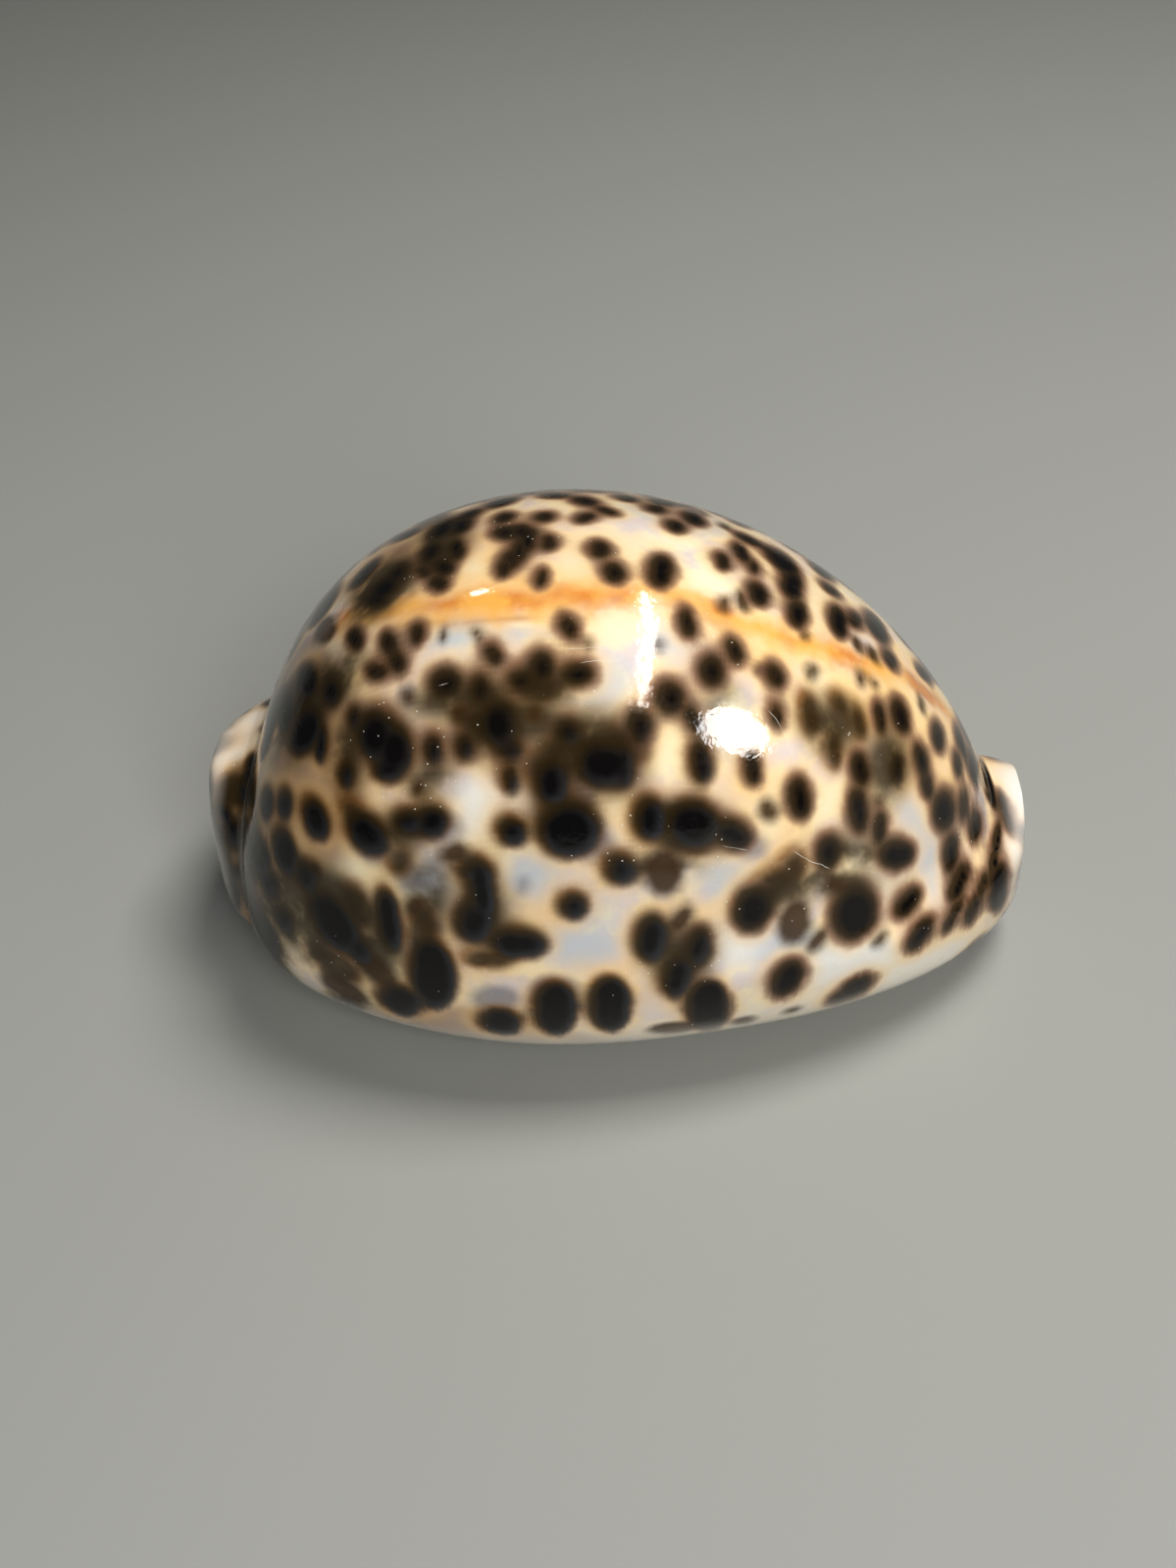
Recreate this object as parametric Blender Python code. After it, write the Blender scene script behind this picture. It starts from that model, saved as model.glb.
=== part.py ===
# Tiger cowrie shell, resting on its lips with the slit below.
# X runs from the blunt back end, where the spire is buried, to the narrower front end.
# The outer lip is on the -Y side and the inner lip on the +Y side. Z is up.
# Lengths are in millimetres until the mesh is made.

import math
from types import SimpleNamespace as Sizes

import bpy
import numpy as np

METRES_PER_MM = 0.001

# The dome, the high egg-shaped body of the shell
HEIGHT = 50.9
OUTER_LIP_HALF_WIDTH = 28.7
INNER_LIP_HALF_WIDTH = 31.4
WIDEST_AT = -5.5
DOME_ROUNDNESS = 2.25
BASE_ROUNDNESS = 2.1

# The line that every section is drawn around, at the widest station
AXIS_Y = -4.2
AXIS_Z = 15.8

# How each end differs: tips of the dome and of the low ridge around it, the powers that shape
# them, the ridge's half widths at mid length and at its crest, and where the axis ends.
BACK = Sizes(
    dome_tip=-40.6, side_power=0.57, far_power=0.44, top_power=0.86,
    ridge_tip=-44.9, ridge_power=1.84, ridge_side=25.6, ridge_far=32.4, ridge_rise=13.0, rise_power=0.33,
    crest_side=4.6, crest_far=5.9, crest_rise=8.5,
    axis_y=1.5, axis_z=12.2, base_lift=0.8, canal=3.1, slit_half=2.6,
)
FRONT = Sizes(
    dome_tip=40.6, side_power=1.24, far_power=1.14, top_power=1.32,
    ridge_tip=43.1, ridge_power=2.11, ridge_side=23.7, ridge_far=12.0, ridge_rise=4.6, rise_power=0.41,
    crest_side=4.9, crest_far=5.3, crest_rise=4.7,
    axis_y=1.0, axis_z=12.4, base_lift=0.8, canal=3.2, slit_half=2.7,
)
AXIS_BEND = 2.5
BASE_LIFT_POWER = 5.0
BASE_END_POWER = 0.35
RIDGE_ROUNDNESS = 2.6
RIDGE_CREST_DEPTH = 0.62
RIDGE_MIX_HALF = 14.0
CREASE_BLEND = 1.3
SIDE_BLEND = 3.5

# The wall and the hollow
WALL_TOP = 3.0
WALL_BASE = 6.2
COLUMELLA_BULGE = 7.0
COLUMELLA_ANGLE = math.radians(142)
COLUMELLA_SPREAD = 0.45
HOLLOW_BLEND = 1.5
RIM_DEPTH = 4.0
RIM_MEETING = 0.84

# The slit and its lips
SLIT_Y = -3.7
SLIT_HALF = 2.3
SLIT_BEND = 3.0
SLIT_FLARE = 0.72
LIP_WIDTH = 4.3
LIP_HEIGHT = 4.0
REST_CUT = 0.7

# The teeth: one ridge on each lip at every second station
TOOTH_PITCH = 2.8
TOOTH_HEIGHT = 0.9
TEETH_FROM = -35.0
TEETH_TO = 35.0
TEETH_FADE = 4.0
TOOTH_SHAPE = (0.5, 1.0, 1.0, 0.9, 0.6)

# How finely the shell is divided
SKIN_POINTS = 24
DOME_END_ROWS = 6
RIDGE_ROWS = 6


def smooth_step(low, high, value):
    share = np.clip((value - low) / (high - low), 0, 1)
    return share * share * (3 - 2 * share)


def smooth_max(a, b, blend):
    share = np.clip(0.5 + 0.5 * (a - b) / blend, 0, 1)
    return b * (1 - share) + a * share + blend * share * (1 - share)


def power(base, exponent):
    return np.maximum(base, 1e-9) ** exponent


def by_end(x, name):
    return np.where(x < WIDEST_AT, getattr(BACK, name), getattr(FRONT, name))


def mixed(x, name):
    """A size that changes gently from one end's value to the other's around mid length."""
    share = smooth_step(-RIDGE_MIX_HALF, RIDGE_MIX_HALF, x)
    return getattr(BACK, name) * (1 - share) + getattr(FRONT, name) * share


def reach(x):
    """Distance from the widest station, as a share of the dome's length on that side."""
    return np.abs((x - WIDEST_AT) / (by_end(x, "dome_tip") - WIDEST_AT))


def section_axis(x):
    share = np.clip(reach(x), 0, 1) ** AXIS_BEND
    y = AXIS_Y * (1 - share) + by_end(x, "axis_y") * share
    z = AXIS_Z * (1 - share) + by_end(x, "axis_z") * share
    return y, z


def base_height(x):
    return by_end(x, "base_lift") * reach(x) ** BASE_LIFT_POWER


def four_arc_radius(angle, side, far, rise, drop, top_roundness, low_roundness):
    """Radius of an oval with its own half width on each side and half height above and below.
    The angle is 0 at the top and grows toward the inner lip's side."""
    across = np.sin(angle)
    along = np.cos(angle)
    width = np.where(across < 0, side, far)
    height = np.where(along > 0, rise, drop)
    roundness = np.where(along > 0, top_roundness, low_roundness)
    return ((np.abs(across) / width) ** roundness + (np.abs(along) / height) ** roundness) ** (-1 / roundness)


def dome_radius(x, angle):
    y, z = section_axis(x)
    left = np.sqrt(np.maximum(1 - reach(x) ** 2, 0))
    side = np.maximum(y + OUTER_LIP_HALF_WIDTH * power(left, by_end(x, "side_power")), 0.01)
    far = np.maximum(INNER_LIP_HALF_WIDTH * power(left, by_end(x, "far_power")) - y, 0.01)
    rise = np.maximum((HEIGHT - AXIS_Z) * power(left, by_end(x, "top_power")), 0.01)
    drop = np.maximum((z - base_height(x)) * power(left, BASE_END_POWER), 0.01)
    return four_arc_radius(angle, side, far, rise, drop, DOME_ROUNDNESS, BASE_ROUNDNESS)


def ridge_radius(x, angle):
    """The low ridge that runs round each end from lip to lip, with the dome rising inside it."""
    y, z = section_axis(x)
    tip = np.where(x < 0, BACK.ridge_tip, FRONT.ridge_tip)
    bluntness = np.where(x < 0, BACK.ridge_power, FRONT.ridge_power)
    left = power(1 - np.clip(x / tip, 0, 1) ** bluntness, 1 / bluntness)
    side = mixed(x, "crest_side") + (mixed(x, "ridge_side") - mixed(x, "crest_side")) * left
    far = mixed(x, "crest_far") + (mixed(x, "ridge_far") - mixed(x, "crest_far")) * left
    rise_share = left ** mixed(x, "rise_power")
    rise = mixed(x, "crest_rise") + (mixed(x, "ridge_rise") - mixed(x, "crest_rise")) * rise_share
    depth_share = RIDGE_CREST_DEPTH + (1 - RIDGE_CREST_DEPTH) * np.sqrt(left)
    drop = (z - base_height(x)) * depth_share
    return four_arc_radius(angle, side, far, rise, drop, RIDGE_ROUNDNESS, RIDGE_ROUNDNESS)


def skin_radius(x, angle):
    blend = CREASE_BLEND + SIDE_BLEND * np.sin(angle) ** 2
    return smooth_max(dome_radius(x, angle), ridge_radius(x, angle), blend)


def rim_share(x):
    """0 inside the shell, rising along a quarter circle to 1 at the crest of either end's rim."""
    to_tip = np.minimum(x - BACK.ridge_tip, FRONT.ridge_tip - x)
    inward = np.clip(1 - to_tip / RIM_DEPTH, 0, 1)
    return 1 - np.sqrt(1 - inward ** 2)


def hollow_radius(x, angle):
    """The inside: the skin less the wall, never tighter than the canal, flaring to meet the rim."""
    skin = skin_radius(x, angle)
    underneath = ((1 - np.cos(angle)) / 2) ** 2
    bulge = COLUMELLA_BULGE * np.exp(-((angle - COLUMELLA_ANGLE) / COLUMELLA_SPREAD) ** 2)
    middle = smooth_step(1.0, 0.5, reach(x))
    wall = WALL_TOP + (WALL_BASE - WALL_TOP) * underneath + bulge * middle
    hollow = smooth_max(skin - wall, by_end(x, "canal"), HOLLOW_BLEND)
    hollow = np.minimum(hollow, np.maximum(skin * 0.7, skin - WALL_TOP))
    return hollow + (RIM_MEETING * skin - hollow) * rim_share(x)


def slit(x):
    """The slit's middle line and half width. It opens out at both canals."""
    share = np.clip(reach(x), 0, 1) ** SLIT_BEND
    middle = SLIT_Y * (1 - share) + by_end(x, "axis_y") * share
    half = SLIT_HALF * (1 - share) + by_end(x, "slit_half") * share
    flare = SLIT_FLARE * by_end(x, "crest_side") - half
    return middle, half + flare * rim_share(x)


def angle_at_width(radius_at, x, width, side):
    """Angle below the axis where a section is `width` from its axis, on side -1 or +1."""
    angles = side * np.linspace(math.pi, 0.52 * math.pi, 200)
    widths = np.abs(radius_at(np.full_like(angles, x), angles) * np.sin(angles))
    upward = np.maximum.accumulate(widths)
    return float(np.interp(width, upward + np.arange(200) * 1e-7, angles))


def arc_points(radius_at, x, start, end):
    angles = np.linspace(start, end, SKIN_POINTS)
    across_stations = np.full_like(angles, x)
    radius = radius_at(across_stations, angles)
    y, z = section_axis(x)
    return np.stack([y + radius * np.sin(angles), z + radius * np.cos(angles)], axis=1)


def lip_points(crown, wall_y, wall_top, side, tooth):
    """The lip's quarter turn from its crown into the slit, raised or sunk where a tooth is."""
    width = abs(wall_y - crown[0])
    height = min(LIP_HEIGHT, 0.6 * (wall_top - crown[1]))
    turns = np.radians((22.5, 45.0, 67.5, 90.0))
    points = []
    for turn, raised in zip(turns, TOOTH_SHAPE):
        y = crown[0] + side * width * math.sin(turn)
        z = crown[1] + height * (1 - math.cos(turn))
        points.append((y + side * tooth * raised * math.sin(turn), z - tooth * raised * math.cos(turn)))
    middle_z = (crown[1] + height + wall_top) / 2
    points.append((wall_y + side * tooth * TOOTH_SHAPE[-1], middle_z))
    return points


def section(x, tooth):
    """One closed loop: the skin, the inner lip, the hollow and back down the outer lip."""
    axis_y, _ = section_axis(x)
    slit_y, slit_half = slit(x)
    crowns = []
    tops = []
    for side in (-1, 1):
        wall = side * slit_half + slit_y - axis_y
        skin_side = float(skin_radius(np.array([x]), np.array([side * math.pi / 2]))[0])
        lip_width = min(LIP_WIDTH, 0.5 * (skin_side - abs(wall)))
        crowns.append(angle_at_width(skin_radius, x, abs(wall) + lip_width, side))
        tops.append(angle_at_width(hollow_radius, x, abs(wall), side))
    skin = arc_points(skin_radius, x, crowns[0], crowns[1])
    hollow = arc_points(hollow_radius, x, tops[1], tops[0])
    inner_lip = lip_points(skin[-1], hollow[0][0], hollow[0][1], -1, tooth)
    outer_lip = lip_points(skin[0], hollow[-1][0], hollow[-1][1], 1, tooth)
    return np.array([*skin, *inner_lip, *hollow, *reversed(outer_lip)])


def stations():
    """Where the sections stand: half a tooth apart along the slit, closer around both ends."""
    count = round((TEETH_TO - TEETH_FROM) / (TOOTH_PITCH / 2))
    toothed = np.linspace(TEETH_FROM, TEETH_TO, count + 1)
    rows = [toothed]
    for end, from_x in ((BACK, TEETH_FROM), (FRONT, TEETH_TO)):
        span = end.dome_tip - WIDEST_AT
        first = math.asin((from_x - WIDEST_AT) / span)
        dome_end = WIDEST_AT + span * np.sin(np.linspace(first, math.pi / 2, DOME_END_ROWS + 1)[1:])
        turns = np.linspace(0, math.pi / 2, RIDGE_ROWS + 1)[1:]
        ridge = end.dome_tip + (end.ridge_tip - end.dome_tip) * np.sin(turns)
        rows.append(np.concatenate([dome_end, ridge]))
    return np.sort(np.concatenate(rows))


def tooth_at(x):
    """Plus half a tooth height on a ridge, minus half in the groove beside it."""
    number = round((x - TEETH_FROM) / (TOOTH_PITCH / 2))
    sign = 1 if number % 2 else -1
    near_end = min(x - TEETH_FROM, TEETH_TO - x)
    return 0.5 * TOOTH_HEIGHT * sign * float(smooth_step(0, TEETH_FADE, near_end))


def standing_points(xs, loops):
    """All points, with the lips' lowest part cut flat at z = 0 and the origin below the middle."""
    points = np.array([(x, y, z) for x, loop in zip(xs, loops) for y, z in loop])
    middle = (points.min(axis=0) + points.max(axis=0)) / 2
    points[:, :2] -= middle[:2]
    points[:, 2] = np.maximum(points[:, 2] - points[:, 2].min() - REST_CUT, 0)
    return points


def shell_mesh():
    xs = stations()
    loops = [section(x, tooth_at(x)) for x in xs]
    points = standing_points(xs, loops)
    around = len(loops[0])
    faces = []
    for row in range(len(xs) - 1):
        for column in range(around):
            beside = (column + 1) % around
            here = row * around
            above = here + around
            faces.append((here + column, above + column, above + beside, here + beside))
    faces += end_cap(0, around, False)
    faces += end_cap((len(xs) - 1) * around, around, True)
    mesh = bpy.data.meshes.new("cowrie_shell")
    mesh.from_pydata((points * METRES_PER_MM).tolist(), [], faces)
    mesh.validate()
    return mesh


def end_cap(first, around, front):
    """The narrow strip on a rim's crest, from the skin's points to the hollow's across the edge."""
    lip = around // 2 - SKIN_POINTS
    skin = list(range(SKIN_POINTS))
    hollow = [around - lip - 1 - number for number in skin]
    faces = [(skin[n], hollow[n], hollow[n + 1], skin[n + 1]) for n in range(SKIN_POINTS - 1)]
    faces.append(tuple(range(SKIN_POINTS + lip, SKIN_POINTS - 2, -1)))
    faces.append((0, *range(around - 1, around - lip - 2, -1)))
    if not front:
        faces = [tuple(reversed(face)) for face in faces]
    return [tuple(first + number for number in face) for face in faces]


def glossy_shell():
    material = bpy.data.materials.new("glossy_shell")
    material.use_nodes = True
    shader = material.node_tree.nodes["Principled BSDF"]
    shader.inputs["Base Color"].default_value = (0.72, 0.60, 0.48, 1)
    shader.inputs["Roughness"].default_value = 0.12
    shader.inputs["Metallic"].default_value = 0.0
    return material


def build():
    for leftover in list(bpy.data.objects):
        bpy.data.objects.remove(leftover, do_unlink=True)
    collection = bpy.data.collections.new("tiger_cowrie")
    bpy.context.scene.collection.children.link(collection)
    mesh = shell_mesh()
    mesh.materials.append(glossy_shell())
    mesh.shade_smooth()
    mesh.set_sharp_from_angle(angle=math.radians(40))
    collection.objects.link(bpy.data.objects.new("cowrie_shell", mesh))


build()
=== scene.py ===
# %% [markdown]
# # A tiger cowrie shell
#
# A cowrie is a sea snail's shell, shaped like an egg that lies on a toothed slit. The animal wraps its
# soft mantle over the outside and keeps painting it with new glaze, so the whole surface shines like
# porcelain. This lesson starts from a plain solid of the shell. It makes a finer surface of the same
# shape, paints the spots on it, and lights it like a small product photograph.

import math
from types import SimpleNamespace as Sizes

import bpy
import numpy as np
from mathutils import Matrix, Vector
from mathutils.bvhtree import BVHTree


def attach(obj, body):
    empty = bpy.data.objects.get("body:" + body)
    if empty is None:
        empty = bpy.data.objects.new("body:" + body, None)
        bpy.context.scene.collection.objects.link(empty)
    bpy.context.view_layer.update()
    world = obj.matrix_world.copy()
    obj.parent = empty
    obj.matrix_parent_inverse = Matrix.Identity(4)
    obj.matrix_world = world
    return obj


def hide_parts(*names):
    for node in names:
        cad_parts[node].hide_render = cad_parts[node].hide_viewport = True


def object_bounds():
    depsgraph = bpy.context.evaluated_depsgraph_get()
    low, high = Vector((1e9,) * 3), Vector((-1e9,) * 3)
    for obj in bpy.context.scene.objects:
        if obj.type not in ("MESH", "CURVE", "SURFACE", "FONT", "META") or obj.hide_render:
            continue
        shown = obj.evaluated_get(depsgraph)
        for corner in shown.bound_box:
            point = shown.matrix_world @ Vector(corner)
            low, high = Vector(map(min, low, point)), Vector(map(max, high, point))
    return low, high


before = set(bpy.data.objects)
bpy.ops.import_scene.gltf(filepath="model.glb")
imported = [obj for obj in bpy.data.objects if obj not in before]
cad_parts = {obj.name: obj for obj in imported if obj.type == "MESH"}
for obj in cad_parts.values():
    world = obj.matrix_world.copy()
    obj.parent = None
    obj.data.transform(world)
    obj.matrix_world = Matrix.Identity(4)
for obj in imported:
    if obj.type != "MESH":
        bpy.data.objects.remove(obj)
box_at_start = [list(corner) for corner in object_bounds()]
METRES_PER_MM = 0.001
solid_low, solid_high = np.array(box_at_start) / METRES_PER_MM
print("the solid, mm:", np.round(solid_high - solid_low, 2))

# %% [markdown]
# ## The camera comes first
#
# The spots are placed by looking through the camera, so it has to stand before anything is painted.
# Its place is written as two angles, a small roll and a distance from a point inside the shell. That
# is easier to read and to change than a matrix, and the three axes follow from the angles. The angles
# and the distance come from fitting the shell to its outline, and the lens itself is an assumption.

# %% Stand the camera where the photograph was taken
PHOTO_WIDTH = 1199
PHOTO_HEIGHT = 1599
FOCAL_LENGTH_PIXELS = 1800
SENSOR_MM = 36
CAMERA_AZIMUTH = math.radians(3.363)
CAMERA_ELEVATION = math.radians(39.177)
CAMERA_ROLL = math.radians(-3.148)
CAMERA_DISTANCE = 192.662
LOOKED_AT = np.array([-2.914, -0.627, 18.089])


def unit(vector):
    return vector / np.linalg.norm(vector)


def camera_axes():
    """Right, up and back of the camera, as unit vectors."""
    flat = math.cos(CAMERA_ELEVATION)
    back = np.array([
        math.sin(CAMERA_AZIMUTH) * flat,
        -math.cos(CAMERA_AZIMUTH) * flat,
        math.sin(CAMERA_ELEVATION),
    ])
    level_right = unit(np.cross(-back, (0, 0, 1)))
    level_up = np.cross(level_right, -back)
    right = level_right * math.cos(CAMERA_ROLL) + level_up * math.sin(CAMERA_ROLL)
    up = level_up * math.cos(CAMERA_ROLL) - level_right * math.sin(CAMERA_ROLL)
    return right, up, back


camera_right, camera_up, camera_back = camera_axes()
camera_place = LOOKED_AT + camera_back * CAMERA_DISTANCE
lens = bpy.data.cameras.new("photo_camera")
lens.sensor_width = SENSOR_MM
lens.lens = FOCAL_LENGTH_PIXELS / PHOTO_HEIGHT * SENSOR_MM
lens.clip_start = 0.005
camera = bpy.data.objects.new("photo_camera", lens)
bpy.context.scene.collection.objects.link(camera)
turn = Matrix(np.stack([camera_right, camera_up, camera_back], axis=1).tolist()).to_4x4()
camera.matrix_world = Matrix.Translation(Vector(camera_place * METRES_PER_MM)) @ turn
bpy.context.scene.camera = camera
print("lens", round(lens.lens, 1), "mm, camera at", np.round(camera_place), "mm")

# %% [markdown]
# ## The shape of the shell, in numbers
#
# Every cut across the shell is a closed loop: over the back, round one lip into the hollow, along the
# inside and out again over the other lip. The sizes below are the same ones that the plain solid is
# made from. They come from fitting this shape to the outline in the photograph, at a length that is a
# guess. A sculpted mesh could look as good, but then it would drift away from the solid.

# %% Name the sizes of the shell, in millimetres
HEIGHT = 50.9
OUTER_LIP_HALF_WIDTH = 28.7
INNER_LIP_HALF_WIDTH = 31.4
WIDEST_AT = -5.5
DOME_ROUNDNESS = 2.25
BASE_ROUNDNESS = 2.1
AXIS_Y = -4.2
AXIS_Z = 15.8
BACK = Sizes(
    dome_tip=-40.6, side_power=0.57, far_power=0.44, top_power=0.86,
    ridge_tip=-44.9, ridge_power=1.84, ridge_side=25.6, ridge_far=32.4, ridge_rise=13.0, rise_power=0.33,
    crest_side=4.6, crest_far=5.9, crest_rise=8.5,
    axis_y=1.5, axis_z=12.2, base_lift=0.8, canal=3.1, slit_half=2.6,
)
FRONT = Sizes(
    dome_tip=40.6, side_power=1.24, far_power=1.14, top_power=1.32,
    ridge_tip=43.1, ridge_power=2.11, ridge_side=23.7, ridge_far=12.0, ridge_rise=4.6, rise_power=0.41,
    crest_side=4.9, crest_far=5.3, crest_rise=4.7,
    axis_y=1.0, axis_z=12.4, base_lift=0.8, canal=3.2, slit_half=2.7,
)
AXIS_BEND = 2.5
BASE_LIFT_POWER = 5.0
BASE_END_POWER = 0.35
RIDGE_ROUNDNESS = 2.6
RIDGE_CREST_DEPTH = 0.62
RIDGE_MIX_HALF = 14.0
CREASE_BLEND = 1.3
SIDE_BLEND = 3.5
WALL_TOP = 3.0
WALL_BASE = 6.2
COLUMELLA_BULGE = 7.0
COLUMELLA_ANGLE = math.radians(142)
COLUMELLA_SPREAD = 0.45
HOLLOW_BLEND = 1.5
RIM_DEPTH = 4.0
RIM_MEETING = 0.84
SLIT_Y = -3.7
SLIT_HALF = 2.3
SLIT_BEND = 3.0
SLIT_FLARE = 0.72
LIP_WIDTH = 4.3
LIP_HEIGHT = 4.0
REST_CUT = 0.7
TOOTH_PITCH = 2.8
TOOTH_HEIGHT = 0.9
TEETH_FROM = -35.0
TEETH_TO = 35.0
TEETH_FADE = 4.0
print("shell", FRONT.ridge_tip - BACK.ridge_tip, "mm long,", HEIGHT, "mm high before it is cut to rest")

# %% [markdown]
# ## Formulas that turn the sizes into a surface
#
# The dome and the low ridge around it are two ovals at every cut. A plain maximum of the two would
# leave a hard edge where they meet, and the real shell has a soft crease there. So the maximum is
# rounded off with a small blend.

# %% Blend and mix numbers


def smooth_step(low, high, value):
    share = np.clip((value - low) / (high - low), 0, 1)
    return share * share * (3 - 2 * share)


def smooth_max(a, b, blend):
    share = np.clip(0.5 + 0.5 * (a - b) / blend, 0, 1)
    return b * (1 - share) + a * share + blend * share * (1 - share)


def power(base, exponent):
    return np.maximum(base, 1e-9) ** exponent


def by_end(x, name):
    return getattr(BACK, name) if x < WIDEST_AT else getattr(FRONT, name)


def mixed(x, name):
    share = smooth_step(-RIDGE_MIX_HALF, RIDGE_MIX_HALF, x)
    return getattr(BACK, name) * (1 - share) + getattr(FRONT, name) * share


def reach(x):
    """Distance from the widest cut, as a share of the dome's length on that side."""
    return abs((x - WIDEST_AT) / (by_end(x, "dome_tip") - WIDEST_AT))


print("the middle of the shell lies", round(reach(0), 2), "of the way from the widest cut to the front")

# %% Find the centre of a cut and its two ovals


def cut_centre(x):
    share = min(reach(x), 1) ** AXIS_BEND
    y = AXIS_Y * (1 - share) + by_end(x, "axis_y") * share
    z = AXIS_Z * (1 - share) + by_end(x, "axis_z") * share
    return y, z


def base_height(x):
    return by_end(x, "base_lift") * reach(x) ** BASE_LIFT_POWER


def oval_radius(angle, side, far, rise, drop, top_roundness, low_roundness):
    """The angle is 0 at the top and grows toward the inner lip's side."""
    across = np.sin(angle)
    along = np.cos(angle)
    width = np.where(across < 0, side, far)
    height = np.where(along > 0, rise, drop)
    roundness = np.where(along > 0, top_roundness, low_roundness)
    shares = (np.abs(across) / width) ** roundness + (np.abs(along) / height) ** roundness
    return shares ** (-1 / roundness)


def dome_radius(x, angle):
    y, z = cut_centre(x)
    left = math.sqrt(max(1 - reach(x) ** 2, 0))
    side = max(y + OUTER_LIP_HALF_WIDTH * power(left, by_end(x, "side_power")), 0.01)
    far = max(INNER_LIP_HALF_WIDTH * power(left, by_end(x, "far_power")) - y, 0.01)
    rise = max((HEIGHT - AXIS_Z) * power(left, by_end(x, "top_power")), 0.01)
    drop = max((z - base_height(x)) * power(left, BASE_END_POWER), 0.01)
    return oval_radius(angle, side, far, rise, drop, DOME_ROUNDNESS, BASE_ROUNDNESS)


def ridge_radius(x, angle):
    y, z = cut_centre(x)
    end = BACK if x < 0 else FRONT
    left = power(1 - min(x / end.ridge_tip, 1) ** end.ridge_power, 1 / end.ridge_power)
    side = mixed(x, "crest_side") + (mixed(x, "ridge_side") - mixed(x, "crest_side")) * left
    far = mixed(x, "crest_far") + (mixed(x, "ridge_far") - mixed(x, "crest_far")) * left
    rise_share = left ** mixed(x, "rise_power")
    rise = mixed(x, "crest_rise") + (mixed(x, "ridge_rise") - mixed(x, "crest_rise")) * rise_share
    depth_share = RIDGE_CREST_DEPTH + (1 - RIDGE_CREST_DEPTH) * math.sqrt(left)
    drop = (z - base_height(x)) * depth_share
    return oval_radius(angle, side, far, rise, drop, RIDGE_ROUNDNESS, RIDGE_ROUNDNESS)


print("the two ovals at the side, mm:", round(float(dome_radius(0, np.array(-math.pi / 2))), 1),
      round(float(ridge_radius(0, np.array(-math.pi / 2))), 1))

# %% Find the outside, the inside and the slit of a cut


def skin_radius(x, angle):
    blend = CREASE_BLEND + SIDE_BLEND * np.sin(angle) ** 2
    return smooth_max(dome_radius(x, angle), ridge_radius(x, angle), blend)


def rim_share(x):
    """0 inside the shell, rising to 1 at the crest of the rim at either end."""
    to_tip = min(x - BACK.ridge_tip, FRONT.ridge_tip - x)
    inward = min(max(1 - to_tip / RIM_DEPTH, 0), 1)
    return 1 - math.sqrt(1 - inward ** 2)


def hollow_radius(x, angle):
    skin = skin_radius(x, angle)
    underneath = ((1 - np.cos(angle)) / 2) ** 2
    bulge = COLUMELLA_BULGE * np.exp(-((angle - COLUMELLA_ANGLE) / COLUMELLA_SPREAD) ** 2)
    middle = smooth_step(1.0, 0.5, reach(x))
    wall = WALL_TOP + (WALL_BASE - WALL_TOP) * underneath + bulge * middle
    hollow = smooth_max(skin - wall, by_end(x, "canal"), HOLLOW_BLEND)
    hollow = np.minimum(hollow, np.maximum(skin * 0.7, skin - WALL_TOP))
    return hollow + (RIM_MEETING * skin - hollow) * rim_share(x)


def slit(x):
    """The slit's middle line and half width. It opens out at both ends."""
    share = min(reach(x), 1) ** SLIT_BEND
    middle = SLIT_Y * (1 - share) + by_end(x, "axis_y") * share
    half = SLIT_HALF * (1 - share) + by_end(x, "slit_half") * share
    flare = SLIT_FLARE * by_end(x, "crest_side") - half
    return middle, half + flare * rim_share(x)


widest_skin = skin_radius(WIDEST_AT, np.array([-math.pi / 2, 0, math.pi / 2]))
print("radius at the widest cut, side, top, far side:", np.round(widest_skin, 1))

# %% [markdown]
# ## Lips and teeth
#
# Along the slit the shell rolls inwards. Fine ridges, the teeth, cross both rolled edges. On the
# plain solid each tooth is one facet up and one facet down. Here the same wave runs smoothly, with
# narrow ridges and wider grooves, as such a lip usually has. The photograph doesn't show the teeth.

# %% Place points along an arc, evenly by length
SKIN_STEPS = 264
HOLLOW_STEPS = 66
STEPS_BESIDE_ONE = SKIN_STEPS // HOLLOW_STEPS
TRACE_POINTS = 400


def points_at(radius_at, x, angles):
    radius = radius_at(x, angles)
    y, z = cut_centre(x)
    return np.stack([y + radius * np.sin(angles), z + radius * np.cos(angles)], axis=1)


def even_arc(radius_at, x, start, end, steps):
    angles = np.linspace(start, end, TRACE_POINTS)
    trace = points_at(radius_at, x, angles)
    lengths = np.linalg.norm(np.diff(trace, axis=0), axis=1)
    run = np.concatenate([[0], np.cumsum(lengths)])
    return points_at(radius_at, x, np.interp(np.linspace(0, run[-1], steps + 1), run, angles))


def angle_at_width(radius_at, x, width, side):
    """Angle below the centre where a cut is `width` from it, on side -1 or +1."""
    angles = side * np.linspace(math.pi, 0.52 * math.pi, TRACE_POINTS)
    widths = np.abs(radius_at(x, angles) * np.sin(angles))
    upward = np.maximum.accumulate(widths) + np.arange(TRACE_POINTS) * 1e-7
    return float(np.interp(width, upward, angles))


print(SKIN_STEPS, "steps around the outside,", HOLLOW_STEPS, "around the hollow")

# %% Shape a tooth across the lip
ROLL_STEPS = 14
WALL_STEPS = 5
LIP_STEPS = ROLL_STEPS + WALL_STEPS
TOOTH_SHARPNESS = 1.5
ROLL_SHARE = 0.8
# How far a tooth stands up on its way round the lip, from the crown to the wall
TOOTH_WAY = (0, 0.2, 0.4, 0.6, 0.8, 0.9, 1)
TOOTH_RISE = (0, 0.5, 1, 1, 0.9, 0.6, 0)


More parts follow.
